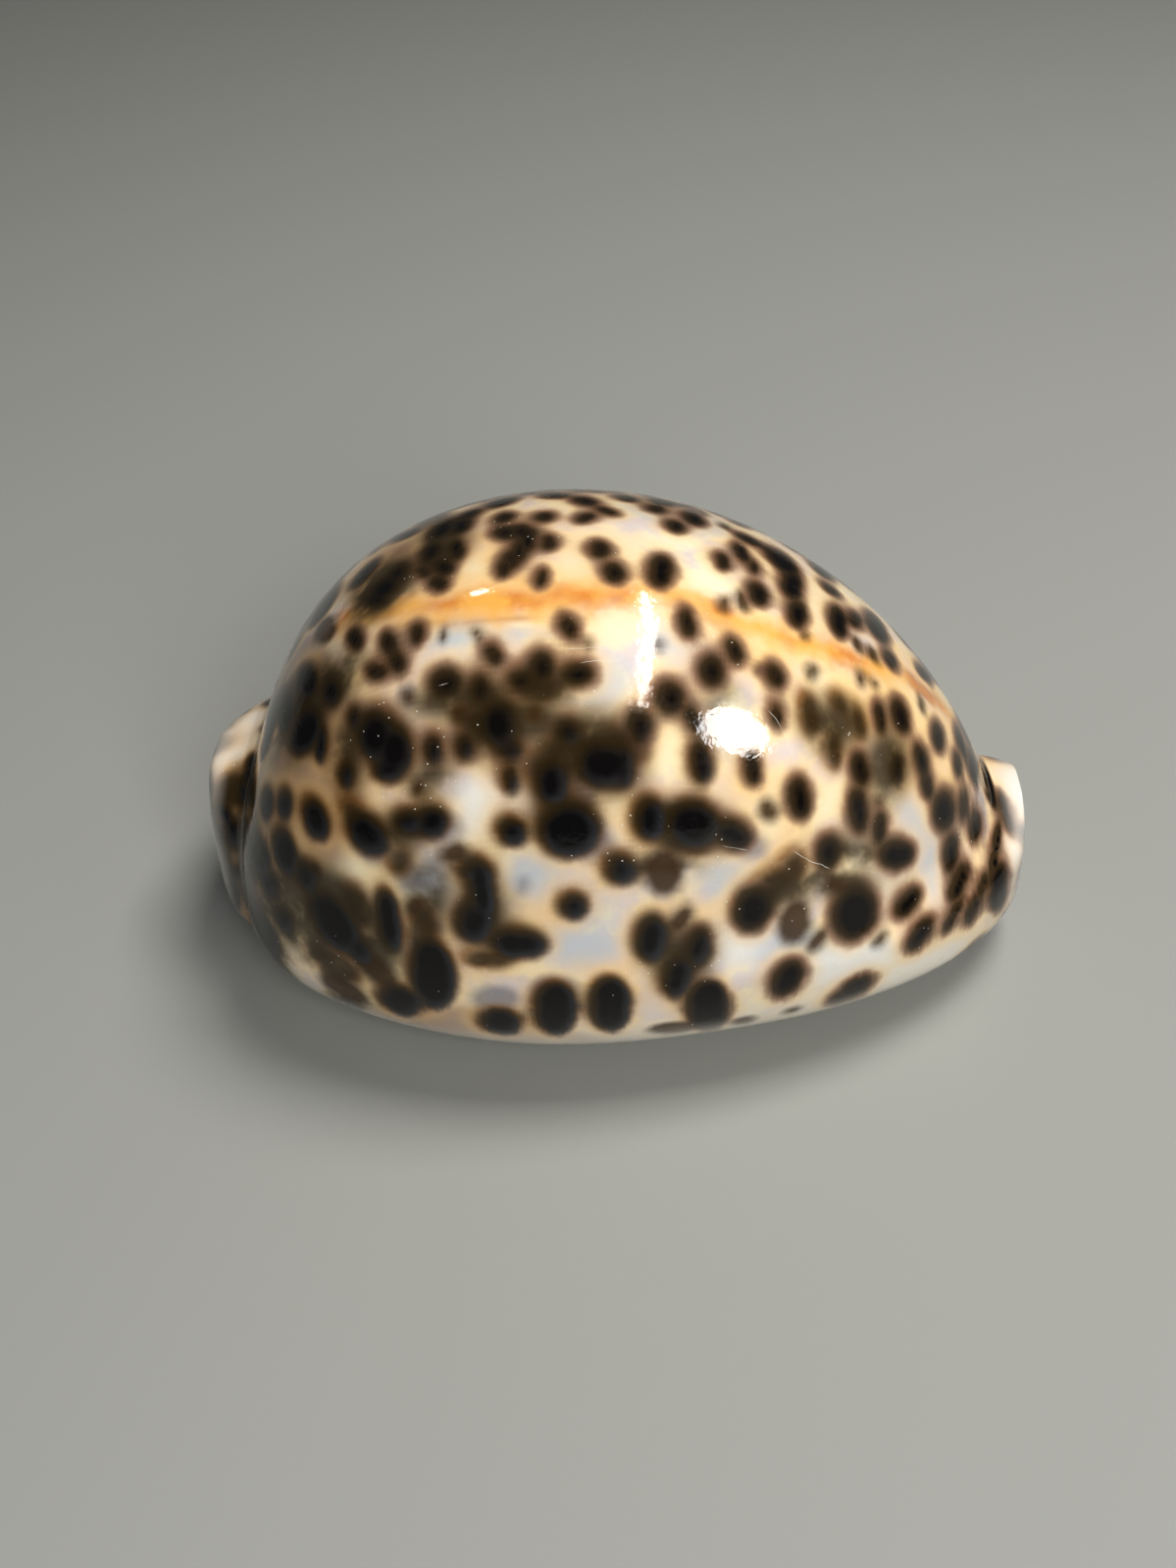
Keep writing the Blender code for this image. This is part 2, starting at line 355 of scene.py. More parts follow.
def tooth_at(x):
    """Half a tooth height on a ridge, minus half in a groove, fading out at both ends."""
    wave = (1 - math.cos(2 * math.pi * (x - TEETH_FROM) / TOOTH_PITCH)) / 2
    near_end = min(x - TEETH_FROM, TEETH_TO - x)
    return TOOTH_HEIGHT * (wave ** TOOTH_SHARPNESS - 0.5) * float(smooth_step(0, TEETH_FADE, near_end))


def lip_points(crown, wall_y, wall_top, side, tooth):
    """The quarter turn from the crown into the slit, then up the wall to the hollow."""
    width = abs(wall_y - crown[0])
    height = min(LIP_HEIGHT, 0.6 * (wall_top - crown[1]))
    turns = np.linspace(0, math.pi / 2, ROLL_STEPS + 1)[1:]
    climb = np.linspace(crown[1] + height, wall_top, WALL_STEPS + 2)[1:-1]
    turn = np.concatenate([turns, np.full(WALL_STEPS, math.pi / 2)])
    y = crown[0] + side * width * np.sin(turn)
    z = np.concatenate([crown[1] + height * (1 - np.cos(turns)), climb])
    way_round = np.linspace(0, ROLL_SHARE, ROLL_STEPS + 1)[1:]
    way_up = np.linspace(ROLL_SHARE, 1, WALL_STEPS + 2)[1:-1]
    raised = tooth * np.interp(np.concatenate([way_round, way_up]), TOOTH_WAY, TOOTH_RISE)
    return np.stack([y + side * raised * np.sin(turn), z - raised * np.cos(turn)], axis=1)


middle_groove = TEETH_FROM + TOOTH_PITCH * round((TEETH_TO - TEETH_FROM) / TOOTH_PITCH / 2)
print("height at a groove and at a tooth, mm:", round(tooth_at(middle_groove), 2),
      round(tooth_at(middle_groove + TOOTH_PITCH / 2), 2))

# %% [markdown]
# ## A taut string over the outer side
#
# Between the dome and the thickened margin above the outer lip, the two ovals leave a long shallow
# dip. It would show as a second mirror image of the lamp, and the photograph shows none there. A
# string pulled tight over each cut touches the high parts and spans the dip. Most of the way up to
# the string is filled, and less towards the narrow end, where a crease can be seen. Dents in a mesh
# could also be smoothed away by a modifier, but that would round off the ridge as well.

# %% Fill the dip in a cut
DIP_FILL = 0.85
FILL_ENDS_FROM = 24.0
FILL_ENDS_AT = 37.0


def taut_string(curve):
    """Numbers of the points that a string touches when it is pulled tight over a bulging curve."""
    touched = []
    for number, (y, z) in enumerate(curve):
        while len(touched) > 1:
            start, last = curve[touched[-2]], curve[touched[-1]]
            if (last[0] - start[0]) * (z - start[1]) - (last[1] - start[1]) * (y - start[0]) < 0:
                break
            touched.pop()
        touched.append(number)
    return touched


def with_dip_filled(skin, x):
    share = DIP_FILL * float(smooth_step(FILL_ENDS_AT, FILL_ENDS_FROM, x))
    outer_side = skin[:SKIN_STEPS // 2]
    touched = taut_string(outer_side.tolist())
    filled = skin.copy()
    for first, last in zip(touched, touched[1:]):
        way = unit(skin[last] - skin[first])
        along = (skin[first:last] - skin[first]) @ way
        string = skin[first] + along[:, None] * way
        filled[first:last] += share * (string - skin[first:last])
    return filled


trial_cut = even_arc(skin_radius, FILL_ENDS_FROM, -0.8 * math.pi, 0.8 * math.pi, SKIN_STEPS)
trial_lift = np.linalg.norm(with_dip_filled(trial_cut, FILL_ENDS_FROM) - trial_cut, axis=1)
print("at x =", FILL_ENDS_FROM, "mm the dip is filled by up to", round(float(trial_lift.max()), 2), "mm")

# %% Draw one whole cut


def cut_loop(x):
    centre_y, _ = cut_centre(x)
    slit_y, slit_half = slit(x)
    tooth = tooth_at(x)
    crowns = []
    tops = []
    for side in (-1, 1):
        wall = side * slit_half + slit_y - centre_y
        skin_side = float(skin_radius(x, np.array([side * math.pi / 2]))[0])
        lip_width = min(LIP_WIDTH, 0.5 * (skin_side - abs(wall)))
        crowns.append(angle_at_width(skin_radius, x, abs(wall) + lip_width, side))
        tops.append(angle_at_width(hollow_radius, x, abs(wall), side))
    skin = with_dip_filled(even_arc(skin_radius, x, crowns[0], crowns[1], SKIN_STEPS), x)
    hollow = even_arc(hollow_radius, x, tops[1], tops[0], HOLLOW_STEPS)
    inner_lip = lip_points(skin[-1], hollow[0][0], hollow[0][1], -1, tooth)
    outer_lip = lip_points(skin[0], hollow[-1][0], hollow[-1][1], 1, tooth)
    return np.concatenate([skin, inner_lip, hollow, outer_lip[::-1]])


print("points in one cut:", len(cut_loop(WIDEST_AT)))

# %% [markdown]
# ## Join the cuts into one skin
#
# The cuts stand close together where the surface turns quickly, at both ends, and evenly between
# them, seven to a tooth. Neighbouring loops are joined with four-sided faces. At each end a narrow
# strip closes the rim. The lowest part of the lips is worn flat enough to stand on, with soft edges.

# %% Stand the cuts along the shell
CUTS_PER_TOOTH = 7
DOME_END_CUTS = 16
RIM_CUTS = 20
REST_SOFTNESS = 0.35


def cut_places():
    count = round((TEETH_TO - TEETH_FROM) / TOOTH_PITCH * CUTS_PER_TOOTH)
    rows = [np.linspace(TEETH_FROM, TEETH_TO, count + 1)]
    for end, from_x in ((BACK, TEETH_FROM), (FRONT, TEETH_TO)):
        span = end.dome_tip - WIDEST_AT
        first = math.asin((from_x - WIDEST_AT) / span)
        rows.append(WIDEST_AT + span * np.sin(np.linspace(first, math.pi / 2, DOME_END_CUTS + 1)[1:]))
        turns = np.linspace(0, math.pi / 2, RIM_CUTS + 1)[1:]
        rows.append(end.dome_tip + (end.ridge_tip - end.dome_tip) * np.sin(turns))
    return np.sort(np.concatenate(rows))


def standing(points):
    """Puts the origin below the middle, flattens what it rests on and matches the solid's box."""
    low, high = points.min(axis=0), points.max(axis=0)
    placed = points - (low + high) / 2
    placed[:, 2] = points[:, 2] - low[2] - REST_CUT
    flattened = smooth_max(placed[:, 2], 0, REST_SOFTNESS)
    placed[:, 2] = np.where(placed[:, 2] < -REST_SOFTNESS, 0, flattened)
    placed[:, :2] *= (solid_high - solid_low)[:2] / (high - low)[:2]
    placed[:, 2] *= solid_high[2] / placed[:, 2].max()
    return placed


places = cut_places()
loops = np.stack([cut_loop(x) for x in places])
cuts, around = loops.shape[:2]
points = np.concatenate([np.repeat(places, around)[:, None], loops.reshape(-1, 2)], axis=1)
points = standing(points)
print(cuts, "cuts of", around, "points")

# %% Join the points with faces


def rim_faces(first, front):
    """The narrow strip that closes a rim, from the skin's points to the hollow's."""
    lip_end = SKIN_STEPS + 1 + LIP_STEPS
    faces = []
    for step in range(HOLLOW_STEPS):
        skin = step * STEPS_BESIDE_ONE
        hollow = lip_end + HOLLOW_STEPS - step
        edge = range(skin + STEPS_BESIDE_ONE, skin, -1)
        faces.append((skin, hollow, hollow - 1, *edge))
    faces.append(tuple(range(lip_end, SKIN_STEPS - 1, -1)))
    faces.append((0, *range(around - 1, around - LIP_STEPS - 2, -1)))
    if not front:
        faces = [tuple(reversed(face)) for face in faces]
    return [tuple(first + corner for corner in face) for face in faces]


rows = np.arange(cuts - 1)[:, None] * around
here = np.arange(around)[None, :]
beside = (here + 1) % around
side_faces = np.stack([rows + here, rows + here + around, rows + beside + around, rows + beside], axis=2)
faces = side_faces.reshape(-1, 4).tolist()
faces += rim_faces(0, False)
faces += rim_faces((cuts - 1) * around, True)

shell_mesh = bpy.data.meshes.new("cowrie_skin")
shell_mesh.from_pydata((points * METRES_PER_MM).tolist(), [], faces)
shell_mesh.validate()
shell_mesh.shade_smooth()
shell = bpy.data.objects.new("cowrie_skin", shell_mesh)
bpy.context.scene.collection.objects.link(shell)
triangles = sum(len(face) - 2 for face in faces)
print("faces", len(faces), "triangles", triangles)

# %% [markdown]
# ## Reading spots onto the surface
#
# The snail paints its spots freely, so no pattern formula gives this shell. Each spot was read from
# the photograph as a small oval: its middle, its half length and half width, and how far it
# leans, clockwise from level. A ray through the camera carries the middle and both half axes onto
# the surface. From then on the spot is paint on the shell, and it looks right from every side.

# %% Look through a pixel onto the surface
surface = BVHTree.FromPolygons(points.tolist(), faces)
normals = np.empty(len(points) * 3, dtype=np.float32)
shell_mesh.vertex_normals.foreach_get("vector", normals)
normals = normals.reshape(-1, 3)
PIXELS_PER_MM = FOCAL_LENGTH_PIXELS / CAMERA_DISTANCE


def sight(pixel_x, pixel_y):
    """The direction in which the camera sees a pixel."""
    across = (pixel_x - PHOTO_WIDTH / 2) / FOCAL_LENGTH_PIXELS
    upward = (PHOTO_HEIGHT / 2 - pixel_y) / FOCAL_LENGTH_PIXELS
    return unit(camera_right * across + camera_up * upward - camera_back)


def seen(pixel_x, pixel_y):
    """The point of the shell behind a pixel and the normal there, or None beside the shell."""
    place, normal, _, _ = surface.ray_cast(camera_place.tolist(), sight(pixel_x, pixel_y).tolist())
    if place is None:
        return None
    return np.array(place), np.array(normal)


middle_seen, _ = seen(PHOTO_WIDTH / 2, PHOTO_HEIGHT / 2)
print("the middle of the picture meets the shell at", np.round(middle_seen, 1))

# %% Carry an oval from the picture onto the shell
LONGEST_STRETCH = 7.0
SAME_SIDE = 0.3


def in_picture(places):
    """The pixels at which the camera sees points in space."""
    offset = places - camera_place
    depth = -(offset @ camera_back)
    x = PHOTO_WIDTH / 2 + FOCAL_LENGTH_PIXELS * (offset @ camera_right) / depth
    y = PHOTO_HEIGHT / 2 - FOCAL_LENGTH_PIXELS * (offset @ camera_up) / depth
    return np.stack([x, y], axis=-1)


def half_axis(centre, outward, pixel, direction, length):
    """The vector on the shell from a spot's middle to the end of one half axis."""
    for sign in (1, -1):
        hit = seen(*(pixel + sign * length * direction))
        if hit is not None and hit[1] @ outward > SAME_SIDE:
            vector = sign * (hit[0] - centre)
            if np.linalg.norm(vector) < LONGEST_STRETCH * length / PIXELS_PER_MM:
                return vector
    flat = camera_right * direction[0] - camera_up * direction[1]
    return flat * length / PIXELS_PER_MM


def oval_from_picture(pixel_x, pixel_y, half_length, half_width, lean_degrees):
    """An oval on the shell: middle, two half axes, outward direction, and how the picture shows it."""
    hit = seen(pixel_x, pixel_y)
    if hit is None:
        return None
    centre, outward = hit
    pixel = np.array([pixel_x, pixel_y], dtype=float)
    lean = math.radians(lean_degrees)
    along = np.array([math.cos(lean), math.sin(lean)])
    across = np.array([-math.sin(lean), math.cos(lean)])
    return Sizes(
        centre=centre, outward=outward, pixel=pixel, along=along / half_length, across=across / half_width,
        long_axis=half_axis(centre, outward, pixel, along, half_length),
        short_axis=half_axis(centre, outward, pixel, across, half_width),
    )


example = oval_from_picture(615, 778, 30, 25, 0)
print("a large flank spot is", round(2 * np.linalg.norm(example.long_axis), 1), "mm long")

# %% [markdown]
# ## The spots, as read from the photograph
#
# The lists go round the shell: over the top, along the left shoulder, down the flank and along the
# margin. Each entry is the middle in pixels, the half length, the half width and the lean. Pale brown
# spots and grey-blue ones lie deeper in the glaze, so they have lists of their own.

# %% Dark spots above the mantle line
TOP_SPOTS = [
    (512, 512, 17, 4, -14), (566, 505, 15, 3, 0), (597, 511, 14, 4.5, 8), (620, 521, 13, 3.5, 14),
    (515, 528, 11, 5, -12), (556, 527, 11, 5, -5), (598, 528, 11, 5, -8),
    (515, 543, 13, 7, 0), (533, 542, 14, 8, 0), (538, 552, 10, 10, 0), (560, 553, 9, 8, 0),
    (530, 562, 10, 8, 90), (522, 571, 9, 9, 0), (514, 580, 9, 7, 119), (553, 589, 10, 6, 107),
    (612, 560, 12, 9, 10), (627, 584, 13, 10, 35),
    (640, 508, 12, 3, 10), (677, 512, 14, 3.5, 12), (670, 519, 11, 4, 12), (708, 529, 13, 6, 25),
    (690, 537, 11, 6, 20), (765, 551, 16, 3.5, 28), (838, 582, 15, 4, 40), (848, 602, 11, 3.5, 40),
    (675, 583, 17, 14, 90), (738, 573, 10, 7, 50), (757, 564, 12, 6, 52), (770, 579, 8, 5, 55),
    (798, 573, 24, 8, 38), (808, 597, 16, 11, 65), (814, 627, 15, 10, 75), (774, 606, 14, 9, 60),
    (856, 635, 17, 9, 70), (873, 633, 10, 6, 52), (895, 641, 19, 7, 55),
    (909, 674, 12, 5, 57), (943, 688, 11, 4, 52),
]
LEFT_SHOULDER_SPOTS = [
    (451, 540, 15, 7, -35), (440, 563, 15, 8, -40), (470, 536, 14, 7, -25), (478, 525, 14, 4, -20),
    (466, 560, 10, 8, 90), (452, 578, 12, 9, 0), (448, 595, 11, 8, 0), (432, 583, 8, 6, 0),
    (440, 528, 16, 3, -22), (414, 545, 15, 3.5, -24), (372, 585, 20, 5, -46), (330, 618, 26, 6, -55),
    (392, 600, 20, 9, -35), (405, 585, 14, 7, -40), (383, 612, 12, 7, 0),
    (313, 695, 18, 11, 90), (362, 652, 12, 9, 90), (396, 656, 12, 8, 80),
    (405, 675, 12, 9, 75), (384, 685, 12, 9, 0),
]
print(len(TOP_SPOTS) + len(LEFT_SHOULDER_SPOTS), "dark spots above")

# %% Dark spots on the flank
UPPER_FLANK_SPOTS = [
    (426, 647, 11, 8, 100), (504, 668, 12, 9, 55), (581, 640, 14, 9, 55), (553, 680, 16, 14, 90),
    (590, 688, 18, 13, 0), (530, 695, 12, 11, 0), (455, 697, 17, 15, 0), (490, 703, 15, 11, 90),
    (702, 636, 16, 9, 75), (750, 665, 14, 8, 65), (727, 685, 17, 14, 80), (791, 690, 14, 9, 60),
    (684, 712, 18, 16, 60), (708, 735, 16, 8, 60), (653, 742, 18, 14, 90), (793, 730, 13, 7, 75),
]
# The first entry of this list, a long thin dark mark down the crease at the left end of the dome, is
# painted shade in that crease
LEFT_FLANK_SPOTS = [
    (273, 742, 34, 6, 103), (291, 725, 20, 8, 95), (312, 745, 26, 14, 110), (338, 705, 16, 10, 90),
    (327, 757, 20, 7, 90), (361, 732, 12, 8, 90), (383, 750, 26, 20, 90), (402, 765, 26, 20, 90),
    (395, 785, 16, 14, 0), (353, 790, 15, 8, 90), (272, 820, 17, 7, 90), (290, 820, 16, 8, 90),
    (322, 836, 24, 13, 70), (374, 850, 25, 18, 50), (415, 838, 14, 12, 0), (264, 872, 22, 10, 70),
    (290, 868, 26, 12, 75), (251, 888, 10, 4, 90), (316, 890, 10, 8, 0), (238, 890, 8, 6, 0),
    (238, 910, 18, 6, 80), (268, 948, 32, 10, 62), (274, 900, 16, 8, 70), (290, 939, 14, 8, 60),
    (341, 941, 36, 19, 55), (311, 893, 17, 8, 68), (366, 968, 18, 11, 45), (396, 938, 32, 13, 80),
    (408, 1020, 24, 14, 20), (355, 1025, 14, 4, 15),
]
MIDDLE_FLANK_SPOTS = [
    (508, 738, 25, 22, 90), (520, 765, 14, 12, 0), (442, 764, 15, 11, 90), (474, 762, 14, 11, 90),
    (440, 838, 18, 16, 0), (485, 888, 18, 10, 0), (579, 747, 14, 13, 0), (615, 778, 30, 25, 0),
    (635, 780, 22, 12, 90), (562, 797, 24, 19, 90), (520, 795, 14, 9, 90), (522, 848, 16, 15, 0),
    (580, 847, 33, 29, 0), (632, 886, 17, 16, 0), (715, 778, 22, 12, 85), (768, 785, 17, 9, 80),
    (816, 815, 22, 12, 85), (662, 835, 23, 17, 90), (706, 840, 28, 25, 0), (748, 852, 20, 15, 20),
    (490, 905, 30, 14, 80), (483, 940, 20, 20, 0), (528, 962, 30, 16, 5), (441, 993, 36, 24, 80),
    (585, 924, 15, 13, 0),
]
print(len(UPPER_FLANK_SPOTS) + len(LEFT_FLANK_SPOTS) + len(MIDDLE_FLANK_SPOTS), "dark spots on the flank")

# %% Dark spots towards the narrow end and along the margin
RIGHT_FLANK_SPOTS = [
    (845, 870, 18, 13, 100), (768, 928, 24, 20, 120), (664, 957, 24, 17, 100), (712, 965, 20, 13, 110),
    (690, 997, 22, 15, 110), (804, 998, 22, 15, 130), (872, 932, 30, 24, 110), (926, 921, 19, 10, 125),
    (939, 953, 21, 9, 125), (873, 1007, 20, 9, 148), (857, 1018, 12, 5, 155),
]
NARROW_END_SPOTS = [
    (878, 785, 18, 10, 80), (876, 828, 23, 11, 85), (898, 845, 16, 7, 95), (898, 733, 17, 6, 80),
    (919, 731, 19, 9, 75), (957, 753, 16, 6, 80), (940, 776, 18, 7, 80), (946, 803, 14, 6, 85),
    (916, 785, 16, 7, 90), (980, 757, 17, 4, 75), (977, 780, 14, 4, 85), (993, 784, 19, 5, 82),
    (1008, 801, 26, 5, 72), (963, 827, 22, 12, 95), (983, 822, 17, 5, 92), (995, 843, 18, 6, 95),
    (970, 870, 20, 8, 95), (915, 872, 19, 16, -20), (1016, 868, 30, 4, 97), (1026, 828, 22, 5, 72),
    (979, 900, 22, 8, 110), (973, 934, 20, 5, 118), (992, 928, 17, 6, 112), (1003, 903, 14, 4, 105),
    (1018, 905, 26, 10, 97),
]
MARGIN_SPOTS = [
    (511, 1042, 22, 13, 5), (566, 1028, 27, 23, 90), (622, 1024, 28, 22, 90), (722, 1026, 26, 23, 100),
]
BACK_RIM_SPOTS = [
    (255, 784, 16, 6, -78), (213, 800, 13, 4, 82), (228, 828, 12, 7, 60), (238, 850, 16, 8, 80),
    (248, 808, 12, 6, 85),
]
print(len(RIGHT_FLANK_SPOTS) + len(NARROW_END_SPOTS) + len(MARGIN_SPOTS) + len(BACK_RIM_SPOTS),
      "dark spots at the ends and the margin")

# %% Paler spots that lie deeper in the glaze
BROWN_SPOTS = [
    (332, 643, 17, 10, -60), (452, 648, 8, 4, 100), (487, 648, 9, 6, 60), (598, 655, 8, 6, 60),
    (711, 522, 12, 4, 20), (740, 537, 10, 3, 25), (757, 613, 13, 7, 70), (738, 617, 9, 7, 80),
    (820, 648, 6, 5, 0), (672, 658, 7, 5, 90), (776, 683, 8, 7, 0), (828, 685, 9, 7, 80),
    (874, 657, 12, 5, 62), (890, 667, 11, 5, 58), (877, 692, 10, 5, 75), (892, 698, 6, 4, 60),
    (415, 710, 10, 8, 90), (470, 727, 12, 10, 0), (545, 728, 8, 7, 0), (427, 803, 13, 11, 90),
    (463, 870, 16, 14, 0), (783, 826, 12, 10, 60), (676, 889, 25, 21, 90), (895, 818, 8, 6, 90),
    (940, 719, 11, 4, 75), (985, 892, 8, 8, 0), (1024, 892, 8, 6, 0), (424, 924, 12, 12, 0),
    (695, 937, 18, 11, 130), (688, 1048, 28, 6, -5), (810, 941, 24, 18, 110), (834, 958, 16, 7, 130),
    (757, 1041, 14, 4, -12), (808, 1030, 10, 3, -15), (853, 902, 14, 11, 0), (896, 958, 11, 6, 135),
    (350, 1008, 30, 9, 30), (385, 990, 26, 12, 40),
]
OLIVE_SPOTS = [
    (826, 728, 22, 10, 80), (851, 766, 20, 8, 85), (857, 718, 12, 7, 60), (876, 738, 18, 8, 75),
    (408, 880, 14, 12, 90), (810, 884, 16, 12, 110), (790, 900, 24, 12, 150), (360, 828, 16, 10, 50),
    (545, 700, 24, 16, 20), (640, 760, 24, 14, 30), (572, 772, 20, 12, 60), (500, 978, 26, 10, 0),
    (366, 926, 24, 14, 55), (345, 985, 28, 11, 35), (596, 764, 16, 12, 35), (546, 782, 12, 12, 0),
    (480, 735, 14, 12, 0), (683, 838, 12, 14, 0), (570, 822, 14, 12, 0), (308, 727, 30, 9, 95),
    (700, 860, 26, 12, 10), (385, 735, 16, 12, 0), (432, 950, 16, 24, 0), (240, 806, 18, 22, 80),
    (226, 850, 10, 24, 80),
]
GREY_BLUE_SPOTS = [
    (420, 897, 14, 12, 0), (505, 1018, 24, 13, 0), (533, 903, 6, 8, 0), (440, 946, 12, 10, 0),
    (566, 1006, 24, 10, 0), (380, 862, 20, 16, 50), (455, 845, 16, 14, 0), (604, 858, 24, 20, 40),
    (766, 862, 16, 14, 30), (590, 812, 16, 14, 40), (1000, 830, 30, 6, 85),
]
print(len(BROWN_SPOTS) + len(OLIVE_SPOTS) + len(GREY_BLUE_SPOTS), "paler spots")

# %% [markdown]
# ## From ovals to a distance in millimetres
#
# Paint needs to know how far each point of the surface is from the edge of the nearest spot. That
# distance is stored on the mesh as an attribute, negative inside a spot. The shader can then draw an
# edge of any softness from it, much finer than the mesh. Neighbouring spots melt together, as wet
# pigment does, because the distances are joined with a soft minimum.

# %% Find which points of the skin the camera sees
skin_of_cut = np.arange(around) <= SKIN_STEPS
on_skin = np.tile(skin_of_cut, cuts)
skin_numbers = np.flatnonzero(on_skin)
skin_points = points[skin_numbers]
skin_normals = normals[skin_numbers].astype(float)
skin_pixels = in_picture(skin_points)
PROBE_LIFT = 0.3
OUTLINE_SOFTNESS = (0.04, 0.16)


def share_in_view():
    """1 for skin that the camera sees, 0 for skin that it can't see, soft along the outline."""
    towards = camera_place - skin_points
    away = np.linalg.norm(towards, axis=1)
    facing = (skin_normals * towards).sum(axis=1) / away
    share = smooth_step(*OUTLINE_SOFTNESS, facing)
    for number in np.flatnonzero(share > 0):
        start = skin_points[number] + skin_normals[number] * PROBE_LIFT
        if surface.ray_cast(start.tolist(), towards[number].tolist())[0] is not None:
            share[number] = 0
    return share


in_view = share_in_view()
print("share of the skin in view:", round(float((in_view > 0.5).mean()), 2))

# %% Measure the distance to a group of ovals
FAR_AWAY = 6.0
MELTING = 0.32


def oval_distance(oval, close):
    """Signed distance in millimetres from numbered skin points to an oval's edge."""
    axes = np.stack([oval.long_axis, oval.short_axis], axis=1)
    shares = (skin_points[close] - oval.centre) @ np.linalg.pinv(axes).T
    if oval.pixel is not None:
        offset = skin_pixels[close] - oval.pixel
        as_seen = np.stack([offset @ oval.along, offset @ oval.across], axis=1)
        view = in_view[close][:, None]
        shares = shares * (1 - view) + as_seen * view
    radius = np.maximum(np.linalg.norm(shares, axis=1), 1e-4)
    reach_mm = np.linalg.norm(shares @ axes.T, axis=1)
    return reach_mm * (1 - 1 / radius)


def nearest_distance(ovals, melting=MELTING):
    """Distance from every skin point to the nearest of some ovals, softly joined."""
    weight = np.zeros(len(skin_points))
    for oval in ovals:
        size = max(np.linalg.norm(oval.long_axis), np.linalg.norm(oval.short_axis))
        offset = np.linalg.norm(skin_points - oval.centre, axis=1)
        facing = skin_normals @ oval.outward > 0.1
        close = np.flatnonzero((offset < 1.5 * size + FAR_AWAY / 2) & facing)
        distance = oval_distance(oval, close)
        weight[close] += np.exp(np.clip(-distance / melting, -30, 30))
    return np.clip(-melting * np.log(np.maximum(weight, 1e-12)), -FAR_AWAY, FAR_AWAY)


def read_ovals(*groups):
    ovals = [oval_from_picture(*spot) for group in groups for spot in group]
    return [oval for oval in ovals if oval is not None]


def moved_oval(oval, climb, growth, drift=0.0):
    """The same oval, moved up the slope and towards the narrow end by some mm, and grown."""
    slope = np.array([0, 0, 1.0]) - oval.outward * oval.outward[2]
    sideways = np.array([1.0, 0, 0]) - oval.outward * oval.outward[0]
    centre = oval.centre + slope * climb + sideways * drift
    longer = max(0.4, 1 + growth / max(np.linalg.norm(oval.long_axis), 0.3))
    wider = max(0.4, 1 + growth / max(np.linalg.norm(oval.short_axis), 0.3))
    moved = Sizes(
        centre=centre, outward=oval.outward, pixel=None,
        long_axis=oval.long_axis * longer, short_axis=oval.short_axis * wider,
    )
    if oval.pixel is not None:
        moved.pixel = in_picture(centre)
        moved.along = oval.along / longer
        moved.across = oval.across / wider
    return moved


dark_ovals = read_ovals(
    TOP_SPOTS, LEFT_SHOULDER_SPOTS, UPPER_FLANK_SPOTS, LEFT_FLANK_SPOTS, MIDDLE_FLANK_SPOTS,
    RIGHT_FLANK_SPOTS, NARROW_END_SPOTS, MARGIN_SPOTS, BACK_RIM_SPOTS,
)
brown_ovals = read_ovals(BROWN_SPOTS)
olive_ovals = read_ovals(OLIVE_SPOTS)
grey_ovals = read_ovals(GREY_BLUE_SPOTS)
print(len(dark_ovals), "dark,", len(brown_ovals), "brown,", len(olive_ovals), "olive and",
      len(grey_ovals), "grey-blue ovals on the shell")

# %% [markdown]
# ## The side that the photograph doesn't show
#
# Round the far side the snail went on in the same hand: small close spots near the mantle line and
# large blots lower down. They are drawn at random, from a fixed seed so that each run gives the same
# shell. A new spot is dropped if it comes too close to one that is there already.

# %% Scatter spots over the hidden side
random = np.random.default_rng(42)
HIDDEN_TRIES = 6000
SMALLEST_HALF = 0.75
LARGEST_HALF = 2.9
LEAST_GAP = 0.35
LOWEST_SPOT = 4.5
LOWEST_NORMAL = -0.45
CAMERA_SIDE = 0.12


def faces_camera(place, normal):
    return float(unit(camera_place - place) @ normal) > CAMERA_SIDE


def hidden_spot_size(place):
    """Half width of a spot: small on top and at the ends, large on the flank."""
    down_the_flank = float(smooth_step(solid_high[2], 0.25 * solid_high[2], place[2]))
    near_end = float(smooth_step(0.5, 1.0, abs(place[0]) / solid_high[0]))
    mean = SMALLEST_HALF + (LARGEST_HALF - SMALLEST_HALF) * down_the_flank * (1 - 0.7 * near_end)
    return mean * random.uniform(0.6, 1.15)


def tangent_axes(outward, turn_angle):
    first = unit(np.cross(outward, (0.3, 0.2, 1.0)))
    second = np.cross(outward, first)
    return (first * math.cos(turn_angle) + second * math.sin(turn_angle),
            second * math.cos(turn_angle) - first * math.sin(turn_angle))


def scatter_hidden_spots():
    taken = [(oval.centre, 0.5 * (np.linalg.norm(oval.long_axis) + np.linalg.norm(oval.short_axis)))
             for oval in dark_ovals]
    centres = np.array([centre for centre, _ in taken])
    halves = np.array([half for _, half in taken])
    scattered = []
    for _ in range(HIDDEN_TRIES):
        number = skin_numbers[random.integers(len(skin_numbers))]
        place, outward = points[number], normals[number].astype(float)
        half = hidden_spot_size(place)
        turn_angle = random.uniform(0, math.pi)
        longer = random.uniform(1.0, 1.45)
        gap = random.uniform(-0.1, 0.5) * half + LEAST_GAP
        hidden = not faces_camera(place, outward) and outward[2] > LOWEST_NORMAL and place[2] > LOWEST_SPOT
        if not hidden or (np.linalg.norm(centres - place, axis=1) < halves + half + gap).any():
            continue
        along, across = tangent_axes(outward, turn_angle)
        scattered.append(Sizes(
            centre=place, outward=outward, pixel=None,
            long_axis=along * half * longer, short_axis=across * half / longer ** 0.5,
        ))
        centres = np.vstack([centres, place])
        halves = np.append(halves, half)
    return scattered


hidden_ovals = scatter_hidden_spots()
print(len(hidden_ovals), "spots on the hidden side")

